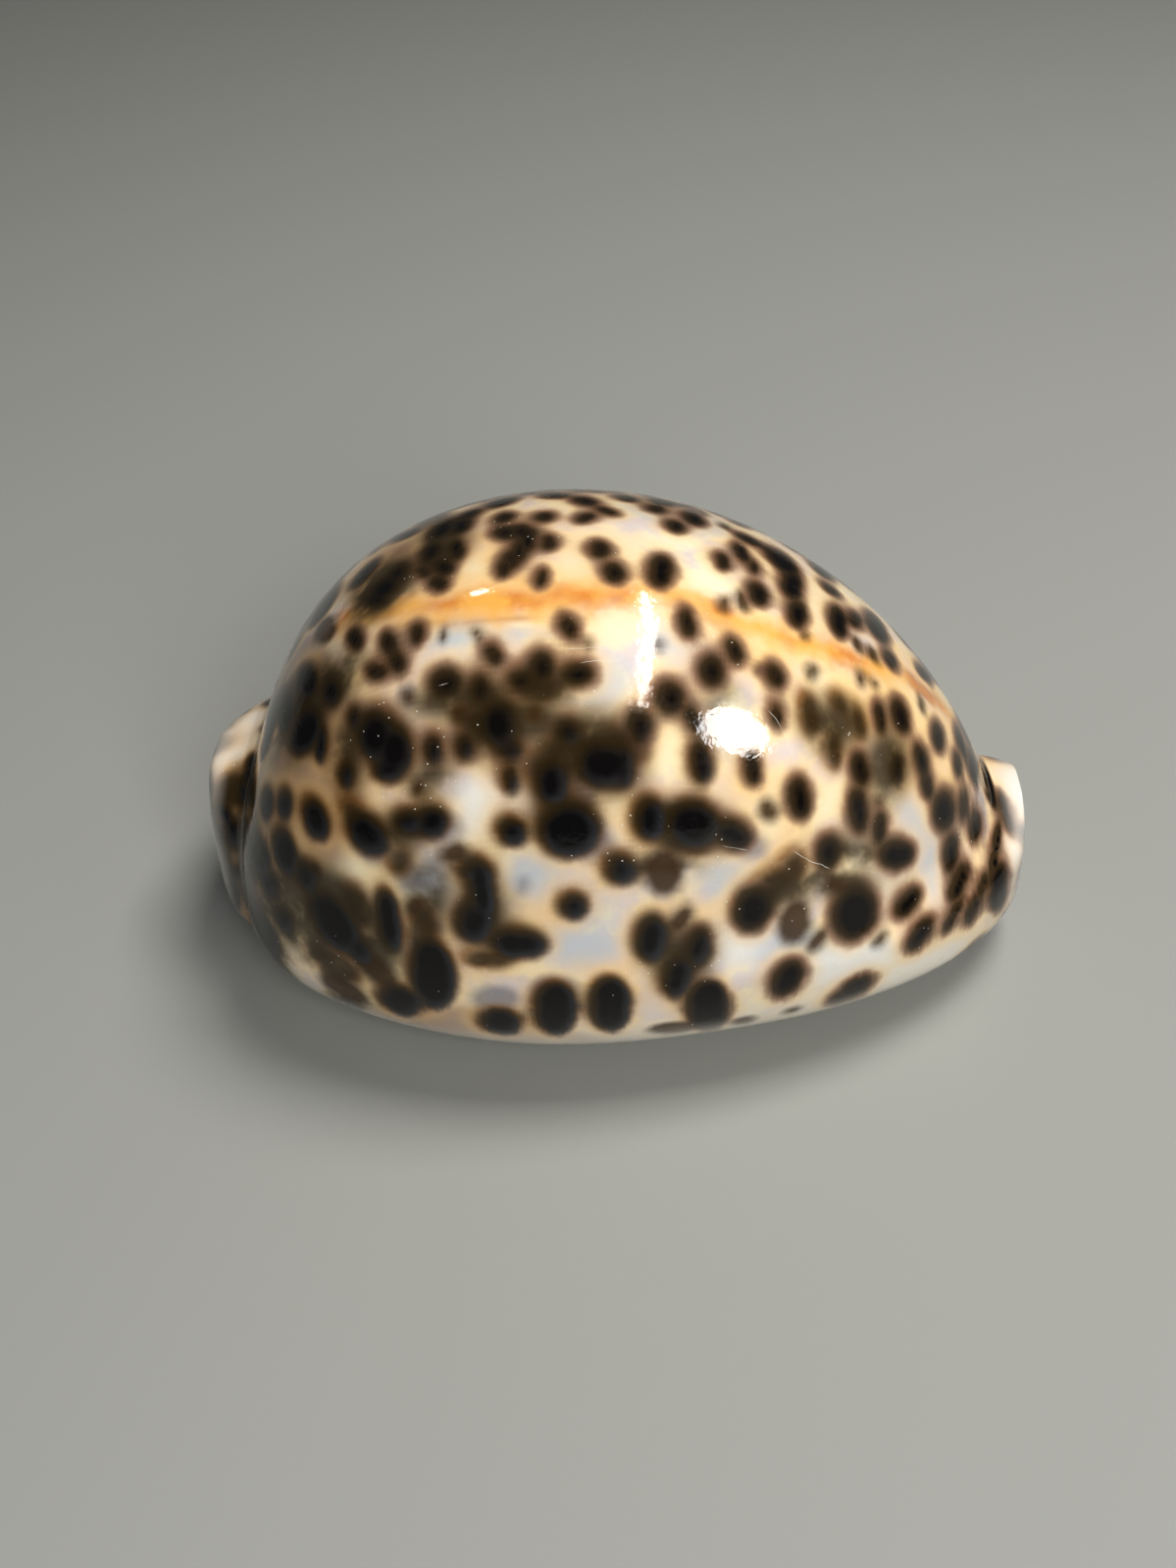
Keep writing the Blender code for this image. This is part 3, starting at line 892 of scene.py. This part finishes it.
# %% [markdown]
# ## Layers of pigment
#
# Each spot was painted more than once while the mantle moved a little, so it has several layers: a
# golden stain a little higher up the slope, an olive-brown spot, a slate-blue shadow a little lower
# and deeper in the glaze, and a black core. The same ovals are moved and grown to make them all.

# %% Store the distances on the mesh
GOLD_CLIMB = 0.4
GOLD_GROWTH = 0.3
GOLD_DRIFT = -0.2
GOLD_MELTING = 0.55
VEIL_MELTING = 1.4
OLIVE_CLIMB = 0.15
OLIVE_GROWTH = 0.15
OLIVE_DRIFT = -0.1
SHADOW_CLIMB = -0.42
SHADOW_GROWTH = -0.4
SHADOW_DRIFT = 0.35
DARK_MELTING = 0.45
CORE_GROWTH = -0.4


def store(name, values, elsewhere):
    """Writes one number for every point of the mesh; points off the skin get `elsewhere`."""
    everywhere = np.full(len(points), elsewhere, dtype=np.float32)
    everywhere[skin_numbers] = values
    layer = shell_mesh.attributes.new(name, "FLOAT", "POINT")
    layer.data.foreach_set("value", everywhere)
    return everywhere


all_dark = dark_ovals + hidden_ovals
stained = all_dark + olive_ovals
golden = [moved_oval(o, GOLD_CLIMB, GOLD_GROWTH, GOLD_DRIFT) for o in stained]
store("dark_core", nearest_distance([moved_oval(o, 0, CORE_GROWTH) for o in all_dark]), FAR_AWAY)
store("dark_spot", nearest_distance(
    [moved_oval(o, OLIVE_CLIMB, OLIVE_GROWTH, OLIVE_DRIFT) for o in all_dark], DARK_MELTING), FAR_AWAY)
store("gold_stain", nearest_distance(golden, GOLD_MELTING), FAR_AWAY)
store("veil", nearest_distance(golden, VEIL_MELTING), FAR_AWAY)
store("own_shadow", nearest_distance(
    [moved_oval(o, SHADOW_CLIMB, SHADOW_GROWTH, SHADOW_DRIFT) for o in all_dark]), FAR_AWAY)
store("grey_spot", nearest_distance(grey_ovals), FAR_AWAY)
store("brown_spot", nearest_distance(brown_ovals), FAR_AWAY)
store("olive_spot", nearest_distance(olive_ovals), FAR_AWAY)
print("distance layers:", [layer.name for layer in shell_mesh.attributes if layer.domain == "POINT"][:8])

# %% [markdown]
# ## The mantle line
#
# The two flaps of the mantle met along a line over the back, and the line stayed bare of spots. It
# shows as a golden band with burnt orange edges. It is stored as a distance as well, measured from a
# chain of points that were read along its middle, each with the band's half width there.

# %% Measure the distance to the mantle line
MANTLE_LINE = [
    (300, 650, 6), (351, 629, 8), (391, 622, 9), (448, 618, 11), (506, 613, 15), (549, 613, 14),
    (592, 608, 11), (640, 603, 9), (676, 602, 8), (722, 621, 8), (759, 636, 8), (799, 650, 9),
    (845, 664, 8), (891, 679, 6), (921, 688, 5), (952, 713, 4), (976, 737, 3), (1000, 765, 2),
]


def chain_distance(chain):
    """Distance from every skin point to a chain of (place, half width), less the half width."""
    nearest = np.full(len(skin_points), FAR_AWAY)
    for (start, start_half), (end, end_half) in zip(chain, chain[1:]):
        step = end - start
        share = np.clip((skin_points - start) @ step / (step @ step), 0, 1)
        offset = np.linalg.norm(skin_points - (start + share[:, None] * step), axis=1)
        nearest = np.minimum(nearest, offset - (start_half + (end_half - start_half) * share))
    return np.clip(nearest, -FAR_AWAY, FAR_AWAY)


mantle_chain = [(seen(x, y)[0], half / PIXELS_PER_MM) for x, y, half in MANTLE_LINE if seen(x, y)]
store("mantle_line", chain_distance(mantle_chain), FAR_AWAY)
print("mantle line through", len(mantle_chain), "points")

# %% [markdown]
# ## Tints in the ground
#
# Between the spots the ground isn't one cream. It is warmer near the mantle line, lilac or bluish
# where a thin layer covers old pigment, and plain white under the shell and at the ends. A few soft
# patches, read like the spots, carry these tints.
# The tan patches also carry painted shade: they darken the left flank and the lower edge.

# %% Mark warm, cool and white areas
WARM_PATCHES = [
    (540, 600, 100, 22, 0), (400, 560, 55, 12, -35), (350, 690, 26, 18, 0),
    (545, 925, 40, 16, 30), (630, 865, 34, 14, -10), (800, 860, 36, 14, 120),
    (840, 660, 80, 12, 25), (760, 800, 24, 20, 0), (700, 925, 26, 12, 0),
    (935, 690, 50, 10, 50), (610, 985, 40, 12, 0), (900, 720, 60, 36, 40), (955, 780, 40, 60, 20),
    (780, 670, 40, 24, 20), (500, 560, 26, 20, 0), (560, 720, 60, 16, 0),
]
COOL_PATCHES = [
    (590, 715, 28, 12, 0), (735, 890, 26, 24, 0), (700, 660, 40, 16, 20), (590, 965, 44, 20, 0),
    (790, 965, 50, 16, -10), (690, 530, 60, 8, 14), (480, 650, 90, 10, -3), (860, 975, 50, 12, -15),
    (540, 890, 30, 24, 0), (1030, 870, 14, 50, 0), (440, 900, 26, 30, 0), (930, 850, 20, 40, 0),
    (620, 700, 26, 30, 0), (905, 905, 24, 40, 30), (600, 935, 16, 14, 0), (1034, 885, 12, 30, 0),
    (835, 975, 60, 18, -20), (960, 880, 24, 60, 0), (234, 750, 20, 26, -40),
]
PALE_PATCHES = [
    (248, 740, 46, 20, -48), (570, 835, 90, 18, 25), (850, 990, 70, 14, -15), (955, 985, 60, 16, -20),
    (1038, 830, 14, 46, 0), (480, 825, 24, 34, 20), (740, 960, 36, 24, 0),
]
# Tan patches: a browner ground, and also painted shade that darkens the left flank and the lower edge
TAN_AND_SHADE_PATCHES = [
    (330, 800, 40, 90, 0), (280, 980, 60, 30, 50), (500, 1055, 120, 12, 4), (250, 860, 24, 80, 0),
    (300, 700, 34, 60, 20), (350, 640, 50, 8, -20), (395, 585, 50, 26, -40), (455, 555, 30, 24, -50),
    (300, 800, 30, 60, 0), (470, 1040, 90, 14, 6), (470, 634, 80, 5, -4), (224, 870, 12, 56, 0),
]
# Veil patches: olive-brown veils round the spots, and on the left and lower left flank also painted shade
VEIL_AND_SHADE_PATCHES = [
    (388, 748, 34, 26, 0), (470, 712, 56, 22, -8), (500, 750, 34, 26, 0), (555, 700, 40, 22, 0),
    (618, 785, 40, 30, 0), (560, 775, 24, 30, 0), (578, 825, 34, 24, 0), (335, 925, 54, 36, 52),
    (705, 845, 50, 24, 5), (675, 885, 40, 14, 0), (440, 910, 22, 34, 0), (492, 930, 30, 34, 0),
    (410, 850, 30, 20, 0), (385, 970, 30, 30, 0), (450, 555, 34, 24, -50), (695, 975, 40, 30, 0),
    (800, 910, 40, 20, -20), (355, 770, 20, 40, 0), (848, 740, 30, 30, 60), (300, 730, 34, 50, 10),
    (300, 970, 34, 60, 40), (340, 1005, 50, 16, 35), (390, 600, 50, 24, -40), (245, 830, 20, 50, 0),
    (440, 790, 24, 20, 0), (870, 870, 30, 20, 0), (905, 780, 24, 40, 0), (740, 730, 24, 30, 0),
    (284, 925, 34, 46, 20), (255, 880, 16, 50, 0), (335, 700, 50, 26, -50), (520, 735, 60, 30, 0),
    (600, 760, 50, 40, 0), (850, 900, 40, 20, 0), (228, 870, 14, 60, 0),
]
PATCH_FADE = 2.2
HIDDEN_VEIL = 0.35
# Each pair is where an area begins and where it is full: heights and places along X in millimetres,
# the upward part of the normal, and for the rim tips a share of the half length
FLANK_HEIGHTS = (46, 34)
SLATE_ALONG_X = (18, 4)
MARGIN_HEIGHTS = (20, 9)
MARGIN_NORMALS = (0.3, -0.35)
MARGIN_ALONG_X = (-26, -4)
LOW_BAND_HEIGHTS = (19, 11)
UNDERSIDE_NORMALS = (-0.25, -0.8)
RIM_TIP_SHARES = (0.93, 0.99)


def patch_share(group):
    """1 in the middle of soft patches, falling to 0 a little outside them."""
    return smooth_step(PATCH_FADE, -PATCH_FADE, nearest_distance(read_ovals(group)))


skin_x, _, skin_z = skin_points.T
skin_up = skin_normals[:, 2]
underside = smooth_step(*UNDERSIDE_NORMALS, skin_up)
low_margin = smooth_step(*MARGIN_NORMALS, skin_up) * smooth_step(*MARGIN_HEIGHTS, skin_z)
margin_along = np.maximum(smooth_step(*MARGIN_ALONG_X, skin_x), 1 - in_view)
slate_area = smooth_step(*FLANK_HEIGHTS, skin_z) * smooth_step(*SLATE_ALONG_X, skin_x)
store("warm_tint", patch_share(WARM_PATCHES), 0)
store("cool_tint", patch_share(COOL_PATCHES), 0)
store("pale_tint", patch_share(PALE_PATCHES), 0)
store("tan_and_shade_tint", patch_share(TAN_AND_SHADE_PATCHES), 0)
store("veil_and_shade_area", np.maximum(patch_share(VEIL_AND_SHADE_PATCHES), HIDDEN_VEIL * (1 - in_view)), 0)
store("slate_area", slate_area, 0)
store("underside", underside, 1)
store("low_margin", low_margin * margin_along, 0)
store("low_band", smooth_step(*LOW_BAND_HEIGHTS, skin_z), 0)
store("rim_tip", smooth_step(*RIM_TIP_SHARES, np.abs(skin_x / solid_high[0])), 0)
store("outside", np.ones(len(skin_numbers)), 0)
print("share of the skin that lies underneath:", round(float(underside.mean()), 2))

# %% [markdown]
# ## The glaze, as shader nodes
#
# A material could be one picture wrapped round the shell. Nodes do it without a picture: each layer
# turns its distance into a soft mask and mixes one paint over the last. Fine noise is added to the
# distances first, so that no edge is as clean as an oval. Small helpers keep the long chain readable.

# %% Make small helpers for nodes
glaze = bpy.data.materials.new("glossy_shell")
glaze.use_nodes = True
nodes = glaze.node_tree.nodes
links = glaze.node_tree.links
shader = nodes["Principled BSDF"]


def paint(red, green, blue):
    """A colour from screen values of 0 to 255."""
    share = np.array([red, green, blue]) / 255
    linear = np.where(share <= 0.04045, share / 12.92, ((share + 0.055) / 1.055) ** 2.4)
    return (*linear.tolist(), 1)


def connect(socket, value):
    if isinstance(value, bpy.types.NodeSocket):
        links.new(value, socket)
    else:
        socket.default_value = value


def stored(name):
    node = nodes.new("ShaderNodeAttribute")
    node.attribute_name = name
    return node.outputs["Fac"]


def calculate(operation, *values):
    node = nodes.new("ShaderNodeMath")
    node.operation = operation
    for socket, value in zip(node.inputs, values):
        connect(socket, value)
    return node.outputs["Value"]


def soft_mask(value, start, end, full=1.0):
    """0 at start and `full` at end, with a smooth way between."""
    node = nodes.new("ShaderNodeMapRange")
    node.interpolation_type = "SMOOTHSTEP"
    connect(node.inputs["Value"], value)
    connect(node.inputs["From Min"], start)
    connect(node.inputs["From Max"], end)
    connect(node.inputs["To Max"], full)
    return node.outputs["Result"]


def lay(over, under, mask):
    """One paint laid over another through a mask."""
    node = nodes.new("ShaderNodeMix")
    node.data_type = "RGBA"
    connect(node.inputs["Factor"], mask)
    paints = {socket.name: socket for socket in node.inputs if socket.type == "RGBA"}
    connect(paints["A"], under)
    connect(paints["B"], over)
    return next(socket for socket in node.outputs if socket.type == "RGBA")


print("helpers ready, base shader:", shader.name)

# %% Make the noises that break up every edge
place = nodes.new("ShaderNodeTexCoord").outputs["Object"]


def noise(size_mm, detail=2.0, roughness=0.5, stretch=None):
    """Noise between 0 and 1, with features of about this size on the shell."""
    node = nodes.new("ShaderNodeTexNoise")
    node.inputs["Scale"].default_value = 1 / (size_mm * METRES_PER_MM)
    node.inputs["Detail"].default_value = detail
    node.inputs["Roughness"].default_value = roughness
    source = place
    if stretch is not None:
        mapping = nodes.new("ShaderNodeMapping")
        mapping.inputs["Scale"].default_value = stretch
        links.new(place, mapping.inputs["Vector"])
        source = mapping.outputs["Vector"]
    links.new(source, node.inputs["Vector"])
    return node.outputs["Fac"]


clouds = noise(11.0, 2.0)
blotches = noise(4.5, 3.0, 0.5)
wobble = noise(2.2, 2.0, 0.5)
fine_grain = noise(0.35, 3.0, 0.6)
uprights = noise(2.4, 3.0, 0.6, stretch=(4.0, 4.0, 0.5))


def roughened(name, coarse_mm, fine_mm):
    """A stored distance with noise added, in millimetres."""
    coarse = calculate("MULTIPLY_ADD", wobble, coarse_mm, -coarse_mm / 2)
    fine = calculate("MULTIPLY_ADD", fine_grain, fine_mm, -fine_mm / 2)
    return calculate("ADD", calculate("ADD", stored(name), coarse), fine)


print("noises ready")

# %% [markdown]
# ## The ground and the mantle line
#
# The ground of the real shell is cream with soft clouds of peach and lilac. A single colour would look
# like plastic. Each paint is laid over the last one through a soft mask, either from noise or from a
# stored tint, so one paint can be changed without touching the others.

# %% Lay the ground colours
CREAM = paint(244, 232, 200)
PEACH = paint(240, 212, 178)
LILAC = paint(212, 200, 206)
COOL_WHITE = paint(188, 195, 202)
PALE = paint(240, 236, 228)
TAN_AND_SHADE = paint(156, 120, 96)
WARM = paint(244, 206, 146)
GOLD = paint(240, 178, 84)
AMBER = paint(206, 122, 46)
BURNT_ORANGE = paint(140, 70, 30)
MARGIN_WHITE = paint(232, 222, 206)
CALLUS = paint(240, 232, 220)

ground = lay(PEACH, CREAM, soft_mask(clouds, 0.35, 0.65, 0.7))
ground = lay(LILAC, ground, soft_mask(blotches, 0.45, 0.62, 0.65))
ground = lay(WARM, ground, calculate("MULTIPLY", stored("warm_tint"), 0.62))
# Tan, partly a browner ground and partly painted shade on the left flank and along the lower edge
ground = lay(TAN_AND_SHADE, ground, calculate("MULTIPLY", stored("tan_and_shade_tint"), 0.85))
ground = lay(COOL_WHITE, ground, calculate("MULTIPLY", stored("cool_tint"), 0.7))
ground = lay(PALE, ground, calculate("MULTIPLY", stored("pale_tint"), 0.85))
ground = lay(MARGIN_WHITE, ground, calculate("MULTIPLY", stored("low_margin"), 0.6))
print("nodes after the ground:", len(nodes))

# %% Lay the mantle line over the ground
LINE_GLOW = paint(240, 190, 126)

line_distance = roughened("mantle_line", 2.4, 0.4)
line_paint = lay(AMBER, GOLD, soft_mask(blotches, 0.38, 0.66, 0.8))
ground = lay(LINE_GLOW, ground, soft_mask(line_distance, 3.2, 0.0, 0.5))
ground = lay(BURNT_ORANGE, ground, calculate(
    "MULTIPLY", soft_mask(line_distance, 1.8, 0.0, 0.6), soft_mask(clouds, 0.45, 0.6)))
ground = lay(line_paint, ground, soft_mask(line_distance, 1.4, -1.3, 0.92))
print("nodes after the mantle line:", len(nodes))

# %% [markdown]
# ## The spots, from the deepest layer up
#
# A spot of one flat black looks printed on. On the real shell the layers show through each other, with
# gold above a spot, slate below it and an olive rim around its black core. So the stored distances are
# painted one after the other. The first two numbers of each mask are the distances, in millimetres,
# at which that layer's edge begins and at which it is full.

# %% Lay the spots, deepest layer first
GREY_BLUE = paint(118, 118, 128)
SLATE = paint(54, 57, 62)
SUNNY = paint(240, 200, 134)
VEIL_AND_SHADE = paint(62, 52, 34)
OCHRE = paint(142, 96, 44)
UMBER = paint(66, 44, 18)
PLUM = paint(150, 114, 98)
OLIVE = paint(52, 40, 20)
NEAR_BLACK = paint(15, 12, 12)


def combed(distance, amount_mm):
    """A distance with fine upright streaks along the foot of the flank, left by the mantle."""
    streak = calculate("MULTIPLY_ADD", uprights, amount_mm, -amount_mm / 2)
    return calculate("MULTIPLY_ADD", streak, stored("low_band"), distance)


patchy = soft_mask(wobble, 0.3, 0.62)
stain_distance = roughened("gold_stain", 1.0, 0.15)
colour = lay(SUNNY, ground, soft_mask(stain_distance, 2.2, 0.3, 0.45))
colour = lay(GREY_BLUE, colour, soft_mask(roughened("grey_spot", 0.8, 0.1), 1.0, -0.9, 0.7))
shadow_distance = combed(roughened("own_shadow", 0.7, 0.1), 0.9)
colour = lay(GREY_BLUE, colour, calculate(
    "MULTIPLY", soft_mask(shadow_distance, 0.8, 0.0, 0.5), stored("slate_area")))
colour = lay(OCHRE, colour, calculate(
    "MULTIPLY", soft_mask(stain_distance, 1.05, -0.6, 0.9), calculate("MULTIPLY_ADD", patchy, 0.45, 0.55)))
# Olive-brown veil round the spots, partly painted shade that darkens the left and lower left flank
veil_and_shade_share = calculate("MULTIPLY", stored("veil_and_shade_area"), soft_mask(blotches, 0.15, 0.48))
colour = lay(VEIL_AND_SHADE, colour, calculate(
    "MULTIPLY", soft_mask(roughened("veil", 1.8, 0.2), 2.1, -0.5, 0.94), veil_and_shade_share))
colour = lay(UMBER, colour, soft_mask(roughened("brown_spot", 0.9, 0.1), 0.9, -0.9, 0.94))
colour = lay(OLIVE, colour, soft_mask(roughened("olive_spot", 0.9, 0.15), 0.8, -1.0, 0.85))
dark_distance = combed(roughened("dark_spot", 0.9, 0.1), 0.9)
core_distance = roughened("dark_core", 0.9, 0.1)
plain_area = calculate("SUBTRACT", 1.0, calculate("MAXIMUM", stored("slate_area"), stored("veil_and_shade_area")))
colour = lay(PLUM, colour, calculate(
    "MULTIPLY", soft_mask(dark_distance, 1.0, 0.1, 0.55), plain_area))
colour = lay(OLIVE, colour, soft_mask(dark_distance, 0.75, -0.7, 0.94))
colour = lay(SLATE, colour, calculate(
    "MULTIPLY", soft_mask(shadow_distance, 0.3, -0.6, 0.85), stored("slate_area")))
colour = lay(NEAR_BLACK, colour, soft_mask(core_distance, 0.4, -1.1, 0.97))
print("nodes after the spots:", len(nodes))

# %% Leave the underside, the rims and the hollow white
HOLLOW_TINT = paint(214, 204, 208)
hollow_white = lay(HOLLOW_TINT, CALLUS, soft_mask(blotches, 0.3, 0.7, 0.7))
colour = lay(CALLUS, colour, calculate("MULTIPLY", stored("underside"), 0.96))
colour = lay(PALE, colour, calculate("MULTIPLY", stored("rim_tip"), 0.5))
inside = calculate("SUBTRACT", 1.0, stored("outside"))
colour = lay(hollow_white, colour, inside)
print("nodes after the white parts:", len(nodes))

# %% [markdown]
# ## Dust and hairline scratches
#
# The shell in the photograph has pale specks on its dark spots and a few fine scratches. Modelled dust
# would be thousands of tiny pieces, and a picture of dust would stretch. Specks come from a cell
# pattern instead, and each scratch is a thin line between two places that were read off.

# %% Add dust specks and hairline scratches
SPECK_SPACING = 1.05
SPECK_RADIUS = 0.09
SCRATCH_FADE = 0.6
DUST = paint(226, 222, 208)
SCRATCHES = [
    ((783, 722), (798, 744), 0.045), ((797, 742), (812, 782), 0.04), ((808, 868), (847, 887), 0.05),
    ((590, 676), (640, 672), 0.035), ((575, 662), (620, 661), 0.03), ((735, 862), (764, 868), 0.035),
    ((446, 700), (458, 696), 0.05),
]


def measured_along(direction, origin_mm):
    """How far each point lies from a place in one direction, in millimetres."""
    node = nodes.new("ShaderNodeVectorMath")
    node.operation = "DOT_PRODUCT"
    links.new(place, node.inputs[0])
    node.inputs[1].default_value = (direction / METRES_PER_MM).tolist()
    return calculate("SUBTRACT", node.outputs["Value"], float(direction @ origin_mm))


def scratch(start_pixel, end_pixel, half_mm):
    """1 along a hairline between two places on the shell, 0 elsewhere."""
    start, outward = seen(*start_pixel)
    end, _ = seen(*end_pixel)
    along = unit(end - start)
    across = unit(np.cross(outward, along))
    aside = calculate("ABSOLUTE", calculate(
        "MULTIPLY_ADD", wobble, 0.8, calculate("SUBTRACT", measured_along(across, start), 0.4)))
    line = soft_mask(aside, half_mm, half_mm * 0.3)
    from_start = measured_along(along, start)
    length = float(np.linalg.norm(end - start))
    fading_in = soft_mask(from_start, 0, SCRATCH_FADE)
    fading_out = soft_mask(from_start, length, length - SCRATCH_FADE)
    within = calculate("MULTIPLY", fading_in, fading_out)
    near = soft_mask(measured_along(outward, start), -7.0, -5.0)
    return calculate("MULTIPLY", calculate("MULTIPLY", line, within), near)


cells = nodes.new("ShaderNodeTexVoronoi")
cells.inputs["Scale"].default_value = 1 / (SPECK_SPACING * METRES_PER_MM)
links.new(place, cells.inputs["Vector"])
speck_radius = soft_mask(clouds, 0.4, 0.62, SPECK_RADIUS / SPECK_SPACING)
specks = calculate("LESS_THAN", cells.outputs["Distance"], speck_radius)
colour = lay(DUST, colour, calculate("MULTIPLY", specks, 0.75))
for start_pixel, end_pixel, half_mm in SCRATCHES:
    colour = lay(DUST, colour, calculate("MULTIPLY", scratch(start_pixel, end_pixel, half_mm), 0.7))
links.new(colour, shader.inputs["Base Color"])
print("specks in cells of", SPECK_SPACING, "mm, and", len(SCRATCHES), "scratches")

# %% [markdown]
# ## Gloss
#
# The glaze is nearly as smooth as porcelain, but not as flat as glass, so mirror images on it have
# soft, slightly wavy edges. Fine waves in the mesh would take millions of faces. Bump nodes bend only
# the light instead, and they leave the outline as it is.

# %% Set the gloss and the fine relief
shader.inputs["IOR"].default_value = 1.45
shader.inputs["Specular IOR Level"].default_value = 0.32
shader.inputs["Coat Weight"].default_value = 0.12
shader.inputs["Coat Roughness"].default_value = 0.03
shader.inputs["Coat IOR"].default_value = 1.5
links.new(soft_mask(fine_grain, 0.2, 0.9, 0.2), shader.inputs["Roughness"])


def relief(height, strength, distance_mm, under=None):
    """Bumps of this height in the surface, on top of others."""
    node = nodes.new("ShaderNodeBump")
    node.inputs["Strength"].default_value = strength
    node.inputs["Distance"].default_value = distance_mm * METRES_PER_MM
    links.new(height, node.inputs["Height"])
    if under is not None:
        links.new(under, node.inputs["Normal"])
    return node.outputs["Normal"]


ripples = noise(1.1, 2.0, 0.5)
waves = relief(blotches, 0.25, 0.1)
links.new(relief(ripples, 1.0, 0.03, waves), shader.inputs["Normal"])
shell_mesh.materials.append(glaze)
print("glaze has", len(nodes), "nodes")

# %% [markdown]
# ## Let the fine shell stand for the solid
#
# The fine surface takes the place of the plain solid in the picture. The solid itself stays in the
# file for physics.

# %% Replace the solid
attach(shell, "root")
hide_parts("cowrie_shell")
print(shell.name, "stands for the solid cowrie_shell")

# %% [markdown]
# ## Floor and light
#
# A glossy thing shows its lamps as mirror images. A soft key and a soft fill light the shell here, and
# they stay out of the mirror images. A narrow strip, a round lamp and a small window do the opposite:
# they only make the bright marks that show how smooth the glaze is. A mirror rule finds where each of
# these three has to hang, so that its mark falls on a chosen pixel. One set of lamps could do both
# jobs, but then no mark could be moved without changing the light on the whole shell.

# %% Lay a plain pale floor
FLOOR_HALF = 1.5
floor_mesh = bpy.data.meshes.new("floor")
floor_mesh.from_pydata(
    [(-FLOOR_HALF, -FLOOR_HALF, 0), (FLOOR_HALF, -FLOOR_HALF, 0),
     (FLOOR_HALF, FLOOR_HALF, 0), (-FLOOR_HALF, FLOOR_HALF, 0)], [], [(0, 1, 2, 3)])
floor = bpy.data.objects.new("floor", floor_mesh)
bpy.context.scene.collection.objects.link(floor)
pale_floor = bpy.data.materials.new("pale_floor")
pale_floor.use_nodes = True
floor_shader = pale_floor.node_tree.nodes["Principled BSDF"]
floor_shader.inputs["Base Color"].default_value = paint(164, 164, 158)
floor_shader.inputs["Roughness"].default_value = 0.85
floor_mesh.materials.append(pale_floor)
print("floor laid")

# %% Hang the lights


def mirrored(pixel_x, pixel_y):
    """Where the shell is hit by the sight line through a pixel, and where it reflects to."""
    place_hit, outward = seen(pixel_x, pixel_y)
    looking = sight(pixel_x, pixel_y)
    return place_hit, unit(looking - 2 * (looking @ outward) * outward)


def hang_light(name, place_mm, aimed_at_mm, size, watts, colour_of_light=(1, 1, 1), roll_to=None):
    """An area light at a place, facing another, with its long side along roll_to."""
    lamp = bpy.data.lights.new(name, "AREA")
    lamp.shape = "ELLIPSE" if name.startswith("round") else "RECTANGLE"
    lamp.size, lamp.size_y = size
    lamp.energy = watts
    lamp.color = colour_of_light
    away = unit(np.array(place_mm) - np.array(aimed_at_mm))
    long_side = np.array([1.0, 0, 0]) if roll_to is None else np.array(roll_to)
    long_side = unit(long_side - away * (long_side @ away))
    lamp_axes = np.stack([long_side, np.cross(away, long_side), away], axis=1)
    hung = bpy.data.objects.new(name, lamp)
    hung.matrix_world = Matrix.Translation(Vector(np.array(place_mm) * METRES_PER_MM)) @ Matrix(
        lamp_axes.tolist()).to_4x4()
    bpy.context.scene.collection.objects.link(hung)
    return hung


STRIP_TOP = (656, 602)
STRIP_BOTTOM = (653, 718)
STRIP_DISTANCE = 500
LAMP_MARK = (748, 745)
LAMP_DISTANCE = 420
WINDOW_MARK = (489, 605)
WINDOW_DISTANCE = 600
STUDIO_GLOW = 0.075
PICTURE_GAMMA = 0.86

upper_hit, upper_way = mirrored(*STRIP_TOP)
lower_hit, lower_way = mirrored(*STRIP_BOTTOM)
strip_ends = [upper_hit + upper_way * STRIP_DISTANCE, lower_hit + lower_way * STRIP_DISTANCE]
strip_length = np.linalg.norm(strip_ends[0] - strip_ends[1]) * METRES_PER_MM
lamp_hit, lamp_way = mirrored(*LAMP_MARK)
window_hit, window_way = mirrored(*WINDOW_MARK)
mark_lights = [
    hang_light("strip_light", (strip_ends[0] + strip_ends[1]) / 2, upper_hit, (strip_length, 0.016), 1.0,
               roll_to=strip_ends[1] - strip_ends[0]),
    hang_light("round_lamp", lamp_hit + lamp_way * LAMP_DISTANCE, lamp_hit, (0.145, 0.145), 1.6),
    hang_light("small_window", window_hit + window_way * WINDOW_DISTANCE, window_hit, (0.05, 0.03), 0.2),
]
for mark_light in mark_lights:
    mark_light.visible_diffuse = False
soft_lights = [
    hang_light("soft_key", (190, 50, 590), (0, 0, 20), (0.25, 0.25), 3.1, (1.0, 0.99, 0.98)),
    hang_light("soft_fill", (190, -520, 380), (0, 0, 20), (0.3, 0.3), 3.1, (0.96, 0.98, 1.0)),
]
for soft_light in soft_lights:
    soft_light.visible_glossy = False
studio = bpy.data.worlds.new("studio")
studio.use_nodes = True
backdrop = studio.node_tree.nodes["Background"]
backdrop.inputs["Color"].default_value = (0.8, 0.82, 0.85, 1)
backdrop.inputs["Strength"].default_value = STUDIO_GLOW
bpy.context.scene.world = studio
bpy.context.scene.view_settings.view_transform = "Standard"
bpy.context.scene.view_settings.gamma = PICTURE_GAMMA
print("strip light", round(strip_length, 2), "m long, round lamp at",
      np.round(lamp_hit + lamp_way * LAMP_DISTANCE), "mm")
